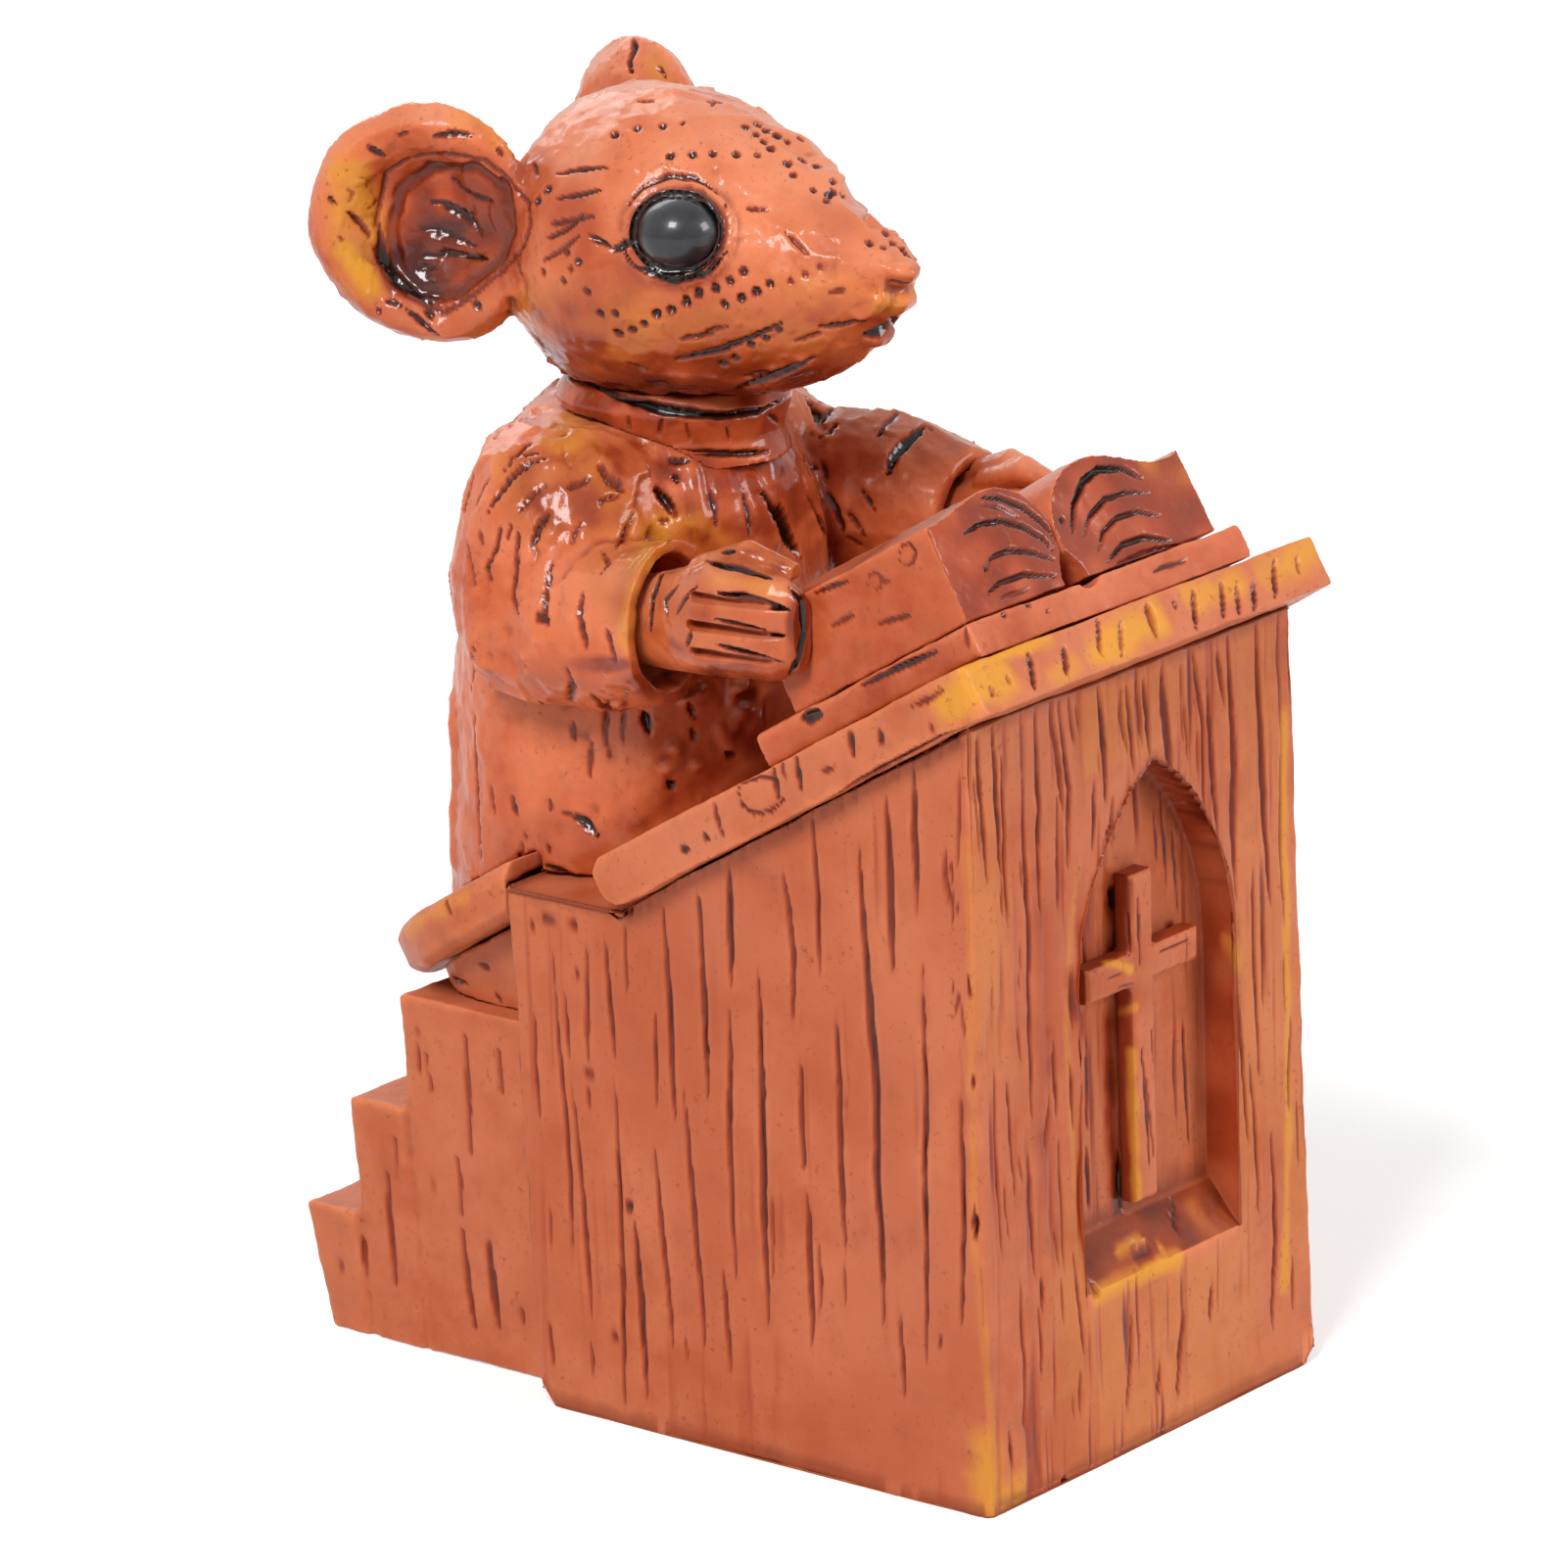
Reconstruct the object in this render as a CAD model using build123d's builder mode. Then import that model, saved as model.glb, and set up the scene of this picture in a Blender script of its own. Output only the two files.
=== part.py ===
from build123d import *

import os
from math import cos, radians, sin, tan

# Everything is in millimetres. The mouse reads towards -Y, its right side is -X, and the
# origin lies on the table under the middle of the ornament.

# Lectern: a hand cut box, a little wider at its left foot, given by its foot and by the
# top of the blank that it is cut from
FOOT_RIGHT_X = -13.5
FOOT_LEFT_X = 15.9
BLANK_RIGHT_X = -13.9
BLANK_LEFT_X = 14.6
BLANK_HEIGHT = 48.0
FRONT_Y = -23.9
FOOT_BACK_Y = 7.5
BLANK_BACK_Y = 8.8
BACK_RIM_HEIGHT = 29.4
LECTERN_EDGE_RADIUS = 0.5
WORN_CORNER = 1.3

# Pointed arch niche in the front of the lectern, cut a little off centre
NICHE_CENTRE_X = 2.1
NICHE_HALF_WIDTH = 6.8
NICHE_SILL_HEIGHT = 9.8
NICHE_SPRING_HEIGHT = 26.0
NICHE_APEX_HEIGHT = 37.7
NICHE_DEPTH = 2.2
SILL_RISE = 2.6

# Cross that stands out from the back of the niche
CROSS_FOOT_HEIGHT = 13.0
CROSS_TOP_HEIGHT = 31.5
CROSS_SPAN = 10.0
CROSS_BAR = 2.1
CROSS_ARM_HEIGHT = 26.2
CROSS_RELIEF = 1.3
CROSS_EDGE = 0.3

# Desk board, tilted down towards the reader. Its plane has x across, y down the slope and
# z square to the board, and its zero is the middle of the board's top front edge.
DESK_TILT = 30.0
DESK_FRONT_Y = -24.6
DESK_FRONT_HEIGHT = 47.16
DESK_RIGHT_X = -15.2
DESK_LEFT_X = 15.9
DESK_LENGTH = 29.7
DESK_THICKNESS = 3.0
DESK_NOSE_RADIUS = 1.3
DESK_CORNER_RADIUS = 0.7

# Open book on the desk board, with x across and heights square to the board. The tunnel is
# the gap between the pages and the spine of the cover.
COVER_RIGHT_X = -12.5
COVER_LEFT_X = 11.2
COVER_START = 0.7
COVER_LENGTH = 16.6
COVER_THICKNESS = 2.0
COVER_EDGE_RADIUS = 0.3
PAGES_START = 1.5
PAGES_LENGTH = 13.6
PAGES_RIGHT_X = -11.3
PAGES_LEFT_X = 10.3
SPINE_X = -1.9
TUNNEL_HALF_WIDTH = 0.9
TUNNEL_WALL = (0.55, 3.2)
TUNNEL_TOP = 3.8
SPINE_DIP = 0.4
GUTTER_TOP = 4.7
RIGHT_PAGE_TOP = ((-2.8, 7.3), (-4.6, 8.3), (-8.0, 8.0), (-11.2, 7.5))
LEFT_PAGE_TOP = ((-0.8, 7.0), (1.4, 8.1), (4.6, 7.9), (7.4, 6.9), (10.2, 7.0))

# Steps behind the lectern: name, height, back of the foot, back of the tread
STEPS = (
    ("top_step", 21.0, 18.2, 18.5),
    ("middle_step", 14.3, 22.1, 22.6),
    ("bottom_step", 7.5, 25.2, 26.3),
)
STEP_FOOT_HALF_WIDTH = 10.8
STEP_TREAD_HALF_WIDTH = 11.5
STEP_EDGE_RADIUS = 0.6

# D shaped landing board, parallel to the desk board, and the corbel that carries it
LANDING_TOP = 2.2
LANDING_THICKNESS = 3.0
LANDING_CENTRE = 41.1
LANDING_RADIUS = 13.4
LANDING_EDGE = 0.6
CORBEL_CENTRE_Y = 8.0
CORBEL_FOOT = (10.2, 9.7)
CORBEL_HEAD = (11.6, 11.6)
CORBEL_HEAD_HEIGHT = 30.0
CORBEL_CORNER_RADIUS = 4.0

# Cassock: height, centre x, centre y, half width, half depth
CASSOCK = (
    (17.0, 0.0, 9.6, 11.1, 11.0),
    (26.0, 0.0, 9.6, 11.0, 10.9),
    (34.0, 0.0, 9.4, 10.7, 10.7),
    (41.0, 0.0, 9.1, 10.2, 10.4),
    (47.0, 0.0, 8.6, 9.2, 9.6),
    (51.0, 0.0, 8.4, 7.8, 8.3),
    (53.6, 0.0, 9.0, 5.8, 6.0),
)

# Band collar, longer from front to back than across: height, and how far it is drawn in
COLLAR_CENTRE_Y = 6.6
COLLAR_HALF_WIDTH = 5.9
COLLAR_HALF_DEPTH = 6.9
COLLAR = ((51.2, 0), (52.6, 0.4), (54.3, 0), (55.2, 0.7))

# Head, from the nape to the muzzle: y, centre x, centre height, half width, half height
HEAD = (
    (14.7, 0.0, 62.4, 2.8, 3.0),
    (13.6, 0.0, 62.3, 5.3, 5.6),
    (11.2, 0.0, 62.3, 7.6, 8.0),
    (6.6, -0.2, 62.4, 8.5, 8.7),
    (1.6, -0.4, 62.4, 7.4, 7.8),
    (-3.4, -0.3, 61.6, 5.0, 5.8),
    (-7.2, -0.1, 61.75, 3.1, 3.55),
    (-9.4, 0.0, 62.5, 1.7, 1.8),
)
NAPE_RADIUS = 1.0
NOSE_CENTRE = (0, -9.6, 63.1)
NOSE_RADIUS = 1.1

# Round bead eyes in raised lids. The left one sits further back and deeper.
RIGHT_EYE_CENTRE = (-6.4, 0.3, 65.0)
RIGHT_EYE_FACING = (-0.86, -0.44, 0.26)
LEFT_EYE_CENTRE = (5.5, 2.3, 64.3)
LEFT_EYE_FACING = (0.93, -0.31, 0.21)
EYE_RADIUS = 2.3
EYE_FLAT = -0.8
LID_OUTER_RADIUS = 2.95
LID_INNER_RADIUS = 2.45
LID_BASE = -0.9
LID_HEIGHT = 1.9

# Round dished ears
RIGHT_EAR_CENTRE = (-8.7, 16.1, 64.1)
RIGHT_EAR_RADIUS = 6.6
RIGHT_EAR_TURN = 62.0
LEFT_EAR_CENTRE = (9.2, 15.9, 64.9)
LEFT_EAR_RADIUS = 6.3
LEFT_EAR_TURN = 75.0
EAR_BACK_RADIUS = 4.4
EAR_BACK_BULGE = 1.8
EAR_RIM_WIDTH = 0.9
EAR_RIM_HEIGHT = 1.2
EAR_BOWL_RADIUS = 4.3
EAR_BOWL_LIP = 0.8
EAR_FLOOR_RADIUS = 2.8
EAR_BOWL_FLOOR = 0.5

# Upper arms: height, centre x on the left side, centre y, half width, half depth
UPPER_ARM = (
    (53.4, 6.2, 9.0, 2.6, 3.4),
    (51.6, 7.4, 8.4, 4.2, 5.0),
    (48.0, 8.4, 8.1, 4.8, 5.9),
    (44.0, 9.2, 7.9, 4.8, 5.9),
    (41.0, 9.4, 7.2, 4.3, 5.0),
    (39.6, 9.4, 6.8, 2.4, 3.2),
)
# Forearms: y, centre x, centre height, half width, half height. The left is held higher.
RIGHT_FOREARM = (
    (8.0, -9.6, 44.0, 4.0, 4.1),
    (4.0, -10.2, 43.9, 4.4, 4.6),
    (0.5, -10.7, 44.5, 4.0, 4.6),
    (-2.2, -11.0, 45.1, 3.9, 4.65),
)
LEFT_FOREARM = (
    (8.0, 9.0, 46.2, 4.0, 4.4),
    (4.0, 9.6, 46.8, 4.3, 4.8),
    (-0.5, 10.4, 46.8, 4.0, 4.6),
    (-5.2, 11.2, 45.7, 3.8, 4.3),
)
# Open inside of each cuff: how deep it goes, and the thickness of its wall
CUFF_DEPTH = 3.2
CUFF_WALL = 0.9
CUFF_TAPER = 0.6

# Right hand, from the wrist to the fingertips: y, centre x, centre height, half sizes
HAND = (
    (1.0, -11.0, 44.8, 1.9, 2.3),
    (-3.0, -11.6, 45.5, 1.9, 2.8),
    (-6.0, -12.1, 46.2, 2.0, 3.2),
    (-10.4, -12.1, 46.3, 1.5, 2.9),
    (-11.9, -12.0, 46.3, 0.8, 2.1),
)
# The cuts that part its four fingers
FINGER_CUT_HEIGHTS = (44.7, 46.2, 47.7)
FINGER_CUT_START = -5.6
FINGER_CUT_HALF_WIDTH = 1.0
FINGER_CUT_FLOOR_X = -12.6
# Its thumb, lying over the edge of the pages, in the same measures
THUMB = (
    (-4.4, -11.6, 48.4, 0.9, 0.8),
    (-7.6, -11.2, 49.6, 1.0, 0.85),
    (-10.7, -10.9, 49.1, 0.5, 0.45),
)
# Where the left hand lies, against the mirror image of the right one
LEFT_HAND_MOVE = (-0.8, -1.6, 0.0)

# How far a cutting shape runs past what it cuts
CLEARANCE = 5.0

desk_plane = Plane(
    origin=(0, DESK_FRONT_Y, DESK_FRONT_HEIGHT),
    x_dir=(1, 0, 0),
    z_dir=(0, sin(radians(DESK_TILT)), cos(radians(DESK_TILT))),
)
back_plane = Plane(
    origin=(0, FOOT_BACK_Y, 0),
    x_dir=(1, 0, 0),
    z_dir=(0, BLANK_HEIGHT, FOOT_BACK_Y - BLANK_BACK_Y),
)


def slope_height(y, offset):
    """Height at y of the plane that lies offset above the desk board's top face."""
    slope = radians(DESK_TILT)
    return DESK_FRONT_HEIGHT + offset / cos(slope) - (y - DESK_FRONT_Y) * tan(slope)


def slope_y(height, offset):
    """Where that plane comes down to a height."""
    slope = radians(DESK_TILT)
    return DESK_FRONT_Y + (DESK_FRONT_HEIGHT + offset / cos(slope) - height) / tan(slope)


def book_plane(distance):
    """Plane square to the desk board, a distance down the slope: x across, y off the board."""
    start = desk_plane.from_local_coords((0, distance, 0))
    return Plane(start, x_dir=(1, 0, 0), z_dir=-desk_plane.y_dir)


def upright_loft(stations):
    """Form lofted through level ellipses: height, centre x, centre y, half width, half depth."""
    with BuildPart() as form:
        for height, x, y, half_width, half_depth in stations:
            with BuildSketch(Plane((x, y, height))):
                Ellipse(half_width, half_depth)
        loft()
    return form.part


def forward_loft(stations, ruled=False):
    """Form lofted along Y through upright ellipses: y, centre x, centre height, half sizes."""
    with BuildPart() as form:
        for y, x, height, half_width, half_height in stations:
            with BuildSketch(Plane((x, y, height), x_dir=(1, 0, 0), z_dir=(0, -1, 0))):
                Ellipse(half_width, half_height)
        loft(ruled=ruled)
    return form.part


# Lectern body
with BuildPart() as lectern_body:
    for level, right, left, back in (
        (0, FOOT_RIGHT_X, FOOT_LEFT_X, FOOT_BACK_Y),
        (BLANK_HEIGHT, BLANK_RIGHT_X, BLANK_LEFT_X, BLANK_BACK_Y),
    ):
        with BuildSketch(Plane(((right + left) / 2, (FRONT_Y + back) / 2, level))):
            Rectangle(left - right, back - FRONT_Y)
    loft()
    foot_edges = lectern_body.faces().sort_by(Axis.Z)[0].edges()
    chamfer(foot_edges.filter_by(Axis.X).sort_by(Axis.Y)[-1], WORN_CORNER)
    chamfer(lectern_body.faces().sort_by(Axis.Z)[0].edges().sort_by(Axis.X)[-1], WORN_CORNER)
    fillet(
        lectern_body.edges().filter_by(lambda edge: edge.length > BLANK_HEIGHT - CLEARANCE),
        LECTERN_EDGE_RADIUS,
    )
    # The walls stop under the desk board, and level off behind its lower end
    with BuildSketch(Plane.YZ):
        with BuildLine():
            Polyline(
                (FRONT_Y - CLEARANCE, slope_height(FRONT_Y - CLEARANCE, -DESK_THICKNESS)),
                (slope_y(BACK_RIM_HEIGHT, -DESK_THICKNESS), BACK_RIM_HEIGHT),
                (BLANK_BACK_Y + CLEARANCE, BACK_RIM_HEIGHT),
                (BLANK_BACK_Y + CLEARANCE, BLANK_HEIGHT + CLEARANCE),
                (FRONT_Y - CLEARANCE, BLANK_HEIGHT + CLEARANCE),
                close=True,
            )
        make_face()
    extrude(amount=BLANK_LEFT_X + CLEARANCE, both=True, mode=Mode.SUBTRACT)
    # Niche: straight jambs under a two-centred pointed arch
    arch_rise = NICHE_APEX_HEIGHT - NICHE_SPRING_HEIGHT
    arch_radius = (arch_rise**2 + NICHE_HALF_WIDTH**2) / (2 * NICHE_HALF_WIDTH)
    right_jamb = NICHE_CENTRE_X - NICHE_HALF_WIDTH
    left_jamb = NICHE_CENTRE_X + NICHE_HALF_WIDTH
    with BuildSketch(Plane.XZ.offset(-FRONT_Y)):
        with BuildLine():
            Polyline(
                (left_jamb, NICHE_SPRING_HEIGHT),
                (left_jamb, NICHE_SILL_HEIGHT),
                (right_jamb, NICHE_SILL_HEIGHT),
                (right_jamb, NICHE_SPRING_HEIGHT),
            )
            apex = (NICHE_CENTRE_X, NICHE_APEX_HEIGHT)
            RadiusArc((right_jamb, NICHE_SPRING_HEIGHT), apex, arch_radius)
            RadiusArc(apex, (left_jamb, NICHE_SPRING_HEIGHT), arch_radius)
        make_face()
    extrude(amount=-NICHE_DEPTH, mode=Mode.SUBTRACT)
    # Sloping sill in the bottom of the niche
    with BuildSketch(Plane.YZ.offset(right_jamb)):
        with BuildLine():
            Polyline(
                (FRONT_Y, NICHE_SILL_HEIGHT),
                (FRONT_Y + NICHE_DEPTH, NICHE_SILL_HEIGHT),
                (FRONT_Y + NICHE_DEPTH, NICHE_SILL_HEIGHT + SILL_RISE),
                close=True,
            )
        make_face()
    extrude(amount=2 * NICHE_HALF_WIDTH)

# Cross in the niche
with BuildPart() as niche_cross:
    with BuildSketch(Plane.XZ.offset(-FRONT_Y - NICHE_DEPTH)):
        with Locations((NICHE_CENTRE_X, (CROSS_FOOT_HEIGHT + CROSS_TOP_HEIGHT) / 2)):
            Rectangle(CROSS_BAR, CROSS_TOP_HEIGHT - CROSS_FOOT_HEIGHT)
        with Locations((NICHE_CENTRE_X, CROSS_ARM_HEIGHT)):
            Rectangle(CROSS_SPAN, CROSS_BAR)
    extrude(amount=CROSS_RELIEF)
    chamfer(niche_cross.faces().sort_by(Axis.Y)[0].edges(), CROSS_EDGE)

# Desk board, with a rounded lower end
with BuildPart() as desk_board:
    with BuildSketch(desk_plane.offset(-DESK_THICKNESS)):
        with Locations(((DESK_RIGHT_X + DESK_LEFT_X) / 2, DESK_LENGTH / 2)):
            Rectangle(DESK_LEFT_X - DESK_RIGHT_X, DESK_LENGTH)
    extrude(amount=DESK_THICKNESS)
    lower_end = desk_board.edges().filter_by(Axis.X).sort_by(Axis.Y)[-2:]
    fillet(lower_end, DESK_NOSE_RADIUS)
    square_edges = desk_board.edges().filter_by(Axis(desk_plane.origin, desk_plane.z_dir))
    fillet(square_edges.sort_by(Axis.Y)[:2], DESK_CORNER_RADIUS)

# Book cover, hollowed a little along the spine
with BuildPart() as book_cover:
    with BuildSketch(book_plane(COVER_START)):
        with BuildLine():
            Polyline(
                (COVER_RIGHT_X, COVER_THICKNESS),
                (COVER_RIGHT_X, 0),
                (COVER_LEFT_X, 0),
                (COVER_LEFT_X, COVER_THICKNESS),
                (SPINE_X + TUNNEL_HALF_WIDTH, COVER_THICKNESS),
            )
            ThreePointArc(
                (SPINE_X + TUNNEL_HALF_WIDTH, COVER_THICKNESS),
                (SPINE_X, COVER_THICKNESS - SPINE_DIP),
                (SPINE_X - TUNNEL_HALF_WIDTH, COVER_THICKNESS),
            )
            Line((SPINE_X - TUNNEL_HALF_WIDTH, COVER_THICKNESS), (COVER_RIGHT_X, COVER_THICKNESS))
        make_face()
    extrude(amount=-COVER_LENGTH)
    down_slope = Axis(desk_plane.origin, desk_plane.y_dir)
    fillet(book_cover.edges().filter_by(down_slope).group_by(Axis.X)[0], COVER_EDGE_RADIUS)
    fillet(book_cover.edges().filter_by(down_slope).group_by(Axis.X)[-1], COVER_EDGE_RADIUS)


def page_block(side, outer_foot, top_points):
    """One half of the open pages, arched from the gutter over its hump to the outer edge."""
    tunnel_edge = SPINE_X + side * TUNNEL_HALF_WIDTH
    gutter = (SPINE_X, GUTTER_TOP)
    with BuildPart() as block:
        with BuildSketch(book_plane(PAGES_START)):
            with BuildLine():
                Polyline(top_points[-1], (outer_foot, COVER_THICKNESS), (tunnel_edge, COVER_THICKNESS))
                ThreePointArc(
                    (tunnel_edge, COVER_THICKNESS),
                    (SPINE_X + side * TUNNEL_WALL[0], TUNNEL_WALL[1]),
                    (SPINE_X, TUNNEL_TOP),
                )
                Line((SPINE_X, TUNNEL_TOP), gutter)
                Spline(gutter, *top_points)
            make_face()
        extrude(amount=-PAGES_LENGTH)
    return block.part


# The two halves of the open pages, each with its own hump
with BuildPart() as right_pages:
    add(page_block(-1, PAGES_RIGHT_X, RIGHT_PAGE_TOP))
with BuildPart() as left_pages:
    add(page_block(1, PAGES_LEFT_X, LEFT_PAGE_TOP))

# Steps, each widening a little from foot to tread and standing against the one before
steps = []
front_foot = FOOT_BACK_Y
front_lean = (BLANK_BACK_Y - FOOT_BACK_Y) / BLANK_HEIGHT
for name, height, foot_back, tread_back in STEPS:
    with BuildPart() as step:
        for level, half_width, back in (
            (0, STEP_FOOT_HALF_WIDTH, foot_back),
            (height, STEP_TREAD_HALF_WIDTH, tread_back),
        ):
            front = front_foot + front_lean * level
            with BuildSketch(Plane((0, (front + back) / 2, level))):
                Rectangle(2 * half_width, back - front)
        loft()
        rear_edges = step.faces().sort_by(Axis.Y)[-1].edges()
        fillet(rear_edges.sort_by(Axis.Z)[1:], STEP_EDGE_RADIUS)
    step.part.label = name
    steps.append(step.part)
    front_foot = foot_back
    front_lean = (tread_back - foot_back) / height

# Landing board: a board with a round end, cut off where it meets the back of the lectern
with BuildPart() as landing_board:
    with BuildSketch(desk_plane.offset(LANDING_TOP - LANDING_THICKNESS)):
        with Locations((0, LANDING_CENTRE)):
            Circle(LANDING_RADIUS)
        with Locations((0, LANDING_CENTRE - LANDING_RADIUS / 2)):
            Rectangle(2 * LANDING_RADIUS, LANDING_RADIUS)
    extrude(amount=LANDING_THICKNESS)
    chamfer(landing_board.edges().filter_by(GeomType.CIRCLE), LANDING_EDGE)
    split(bisect_by=back_plane, keep=Keep.TOP)

# Corbel between the landing board and the top step
with BuildPart() as landing_corbel:
    for height, (half_width, half_depth) in (
        (STEPS[0][1], CORBEL_FOOT),
        (CORBEL_HEAD_HEIGHT, CORBEL_HEAD),
    ):
        with BuildSketch(Plane((0, CORBEL_CENTRE_Y, height))):
            RectangleRounded(2 * half_width, 2 * half_depth, CORBEL_CORNER_RADIUS)
    loft()
    split(bisect_by=back_plane, keep=Keep.TOP)
    split(bisect_by=desk_plane.offset(LANDING_TOP - LANDING_THICKNESS), keep=Keep.BOTTOM)

# Cassock, resting on the desk board, the lectern's rim and the landing board
cassock_form = upright_loft(CASSOCK)
with BuildPart() as cassock:
    add(cassock_form)
    with BuildSketch(Plane.YZ):
        with BuildLine():
            Polyline(
                (BLANK_BACK_Y, slope_height(BLANK_BACK_Y, 0)),
                (BLANK_BACK_Y + DESK_LENGTH, slope_height(BLANK_BACK_Y + DESK_LENGTH, 0)),
                (BLANK_BACK_Y + DESK_LENGTH, 0),
                (0, 0),
                (0, BACK_RIM_HEIGHT - CLEARANCE),
                close=True,
            )
        make_face()
    extrude(amount=2 * LANDING_RADIUS, both=True, mode=Mode.SUBTRACT)
    for carrier in (lectern_body, desk_board, landing_board):
        add(carrier.part, mode=Mode.SUBTRACT)

# Band collar, drawn in over its foot and again at its top
with BuildPart() as collar:
    for height, drawn_in in COLLAR:
        with BuildSketch(Plane((0, COLLAR_CENTRE_Y, height))):
            Ellipse(COLLAR_HALF_WIDTH - drawn_in, COLLAR_HALF_DEPTH - drawn_in)
    loft(ruled=True)
    add(cassock_form, mode=Mode.SUBTRACT)

# Bead eyes, flat behind, each seated in a socket in the head
with BuildPart() as right_eye:
    with Locations(RIGHT_EYE_CENTRE):
        Sphere(EYE_RADIUS)
    right_socket = Plane(RIGHT_EYE_CENTRE, z_dir=RIGHT_EYE_FACING)
    split(bisect_by=right_socket.offset(EYE_FLAT), keep=Keep.TOP)
with BuildPart() as left_eye:
    with Locations(LEFT_EYE_CENTRE):
        Sphere(EYE_RADIUS)
    left_socket = Plane(LEFT_EYE_CENTRE, z_dir=LEFT_EYE_FACING)
    split(bisect_by=left_socket.offset(EYE_FLAT), keep=Keep.TOP)

# Head with its nose and the raised rings of the eyelids
with BuildPart() as head:
    add(forward_loft(HEAD))
    fillet(head.edges().sort_by(Axis.Y)[-1], NAPE_RADIUS)
    with Locations(NOSE_CENTRE):
        Sphere(NOSE_RADIUS)
    for socket in (right_socket, left_socket):
        with Locations(socket.offset(LID_BASE)):
            Cone(
                LID_OUTER_RADIUS,
                LID_INNER_RADIUS,
                LID_HEIGHT,
                align=(Align.CENTER, Align.CENTER, Align.MIN),
            )
    for neighbour in (right_eye, left_eye, collar):
        add(neighbour.part, mode=Mode.SUBTRACT)


def ear(centre, side, radius, degrees):
    """Thick disc with bevels cut round its back and a bowl in front, turned to its side."""
    turn = radians(degrees)
    facing = Vector(side * sin(turn), -cos(turn), 0)
    with BuildPart() as disc:
        with BuildSketch(Plane(centre, x_dir=(0, 0, 1), z_dir=Vector(0, 0, 1).cross(facing))):
            with BuildLine():
                Polyline(
                    (0, -EAR_BACK_BULGE),
                    (EAR_BACK_RADIUS, -EAR_BACK_BULGE),
                    (radius, 0),
                    (radius - EAR_RIM_WIDTH, EAR_RIM_HEIGHT),
                    (EAR_BOWL_RADIUS, EAR_BOWL_LIP),
                    (EAR_FLOOR_RADIUS, -EAR_BOWL_FLOOR),
                    (0, -EAR_BOWL_FLOOR),
                    close=True,
                )
            make_face()
        revolve(axis=Axis(centre, facing))
        add(head.part, mode=Mode.SUBTRACT)
    return disc.part


# Ears
with BuildPart() as right_ear:
    add(ear(RIGHT_EAR_CENTRE, -1, RIGHT_EAR_RADIUS, RIGHT_EAR_TURN))
with BuildPart() as left_ear:
    add(ear(LEFT_EAR_CENTRE, 1, LEFT_EAR_RADIUS, LEFT_EAR_TURN))


def sleeve(side, forearm):
    """Upper arm and forearm, creased where they meet at the elbow, with an open cuff."""
    upper_arm = ((height, side * x, y, *half_sizes) for height, x, y, *half_sizes in UPPER_ARM)
    y, x, height, half_width, half_height = forearm[-1]
    mouth = (half_width - CUFF_WALL, half_height - CUFF_WALL)
    bottom = (mouth[0] - CUFF_TAPER, mouth[1] - CUFF_TAPER)
    pocket = ((y + CUFF_DEPTH, x, height, *bottom), (y - CUFF_WALL, x, height, *mouth))
    with BuildPart() as cloth:
        add(upright_loft(upper_arm))
        add(forward_loft(forearm))
        add(forward_loft(pocket), mode=Mode.SUBTRACT)
        add(cassock_form, mode=Mode.SUBTRACT)
        add(collar.part, mode=Mode.SUBTRACT)
    return cloth.part


# Sleeves
with BuildPart() as right_sleeve:
    add(sleeve(-1, RIGHT_FOREARM))
with BuildPart() as left_sleeve:
    add(sleeve(1, LEFT_FOREARM))

# Hands: one carved form parted into fingers by three cuts, with the thumb laid over the pages
with BuildPart() as hand_form:
    add(forward_loft(HAND, ruled=True))
    for height in FINGER_CUT_HEIGHTS:
        with BuildSketch(Plane((0, FINGER_CUT_START, height), x_dir=(1, 0, 0), z_dir=(0, -1, 0))):
            with BuildLine():
                Polyline(
                    (FINGER_CUT_FLOOR_X, 0),
                    (FINGER_CUT_FLOOR_X - CLEARANCE, FINGER_CUT_HALF_WIDTH),
                    (FINGER_CUT_FLOOR_X - CLEARANCE, -FINGER_CUT_HALF_WIDTH),
                    close=True,
                )
            make_face()
        extrude(amount=2 * CLEARANCE, mode=Mode.SUBTRACT)
    add(forward_loft(THUMB, ruled=True))
with BuildPart() as right_hand:
    add(hand_form.part)
    for neighbour in (right_pages, book_cover, right_sleeve):
        add(neighbour.part, mode=Mode.SUBTRACT)
with BuildPart() as left_hand:
    add(mirror(hand_form.part, about=Plane.YZ).moved(Location(LEFT_HAND_MOVE)))
    for neighbour in (left_pages, book_cover, left_sleeve):
        add(neighbour.part, mode=Mode.SUBTRACT)

pieces = {
    "lectern_body": lectern_body,
    "niche_cross": niche_cross,
    "desk_board": desk_board,
    "book_cover": book_cover,
    "right_pages": right_pages,
    "left_pages": left_pages,
    "landing_board": landing_board,
    "landing_corbel": landing_corbel,
    "cassock": cassock,
    "collar": collar,
    "head": head,
    "right_eye": right_eye,
    "left_eye": left_eye,
    "right_ear": right_ear,
    "left_ear": left_ear,
    "right_sleeve": right_sleeve,
    "left_sleeve": left_sleeve,
    "right_hand": right_hand,
    "left_hand": left_hand,
}
os.makedirs("parts", exist_ok=True)
for name, piece in pieces.items():
    piece.part.label = name
    export_step(piece.part, f"parts/{name}.step")
for step in steps:
    export_step(step, f"parts/{step.label}.step")
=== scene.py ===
import math

import bmesh
import bpy
import numpy as np
from mathutils import Matrix, Vector
from mathutils.bvhtree import BVHTree


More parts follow.
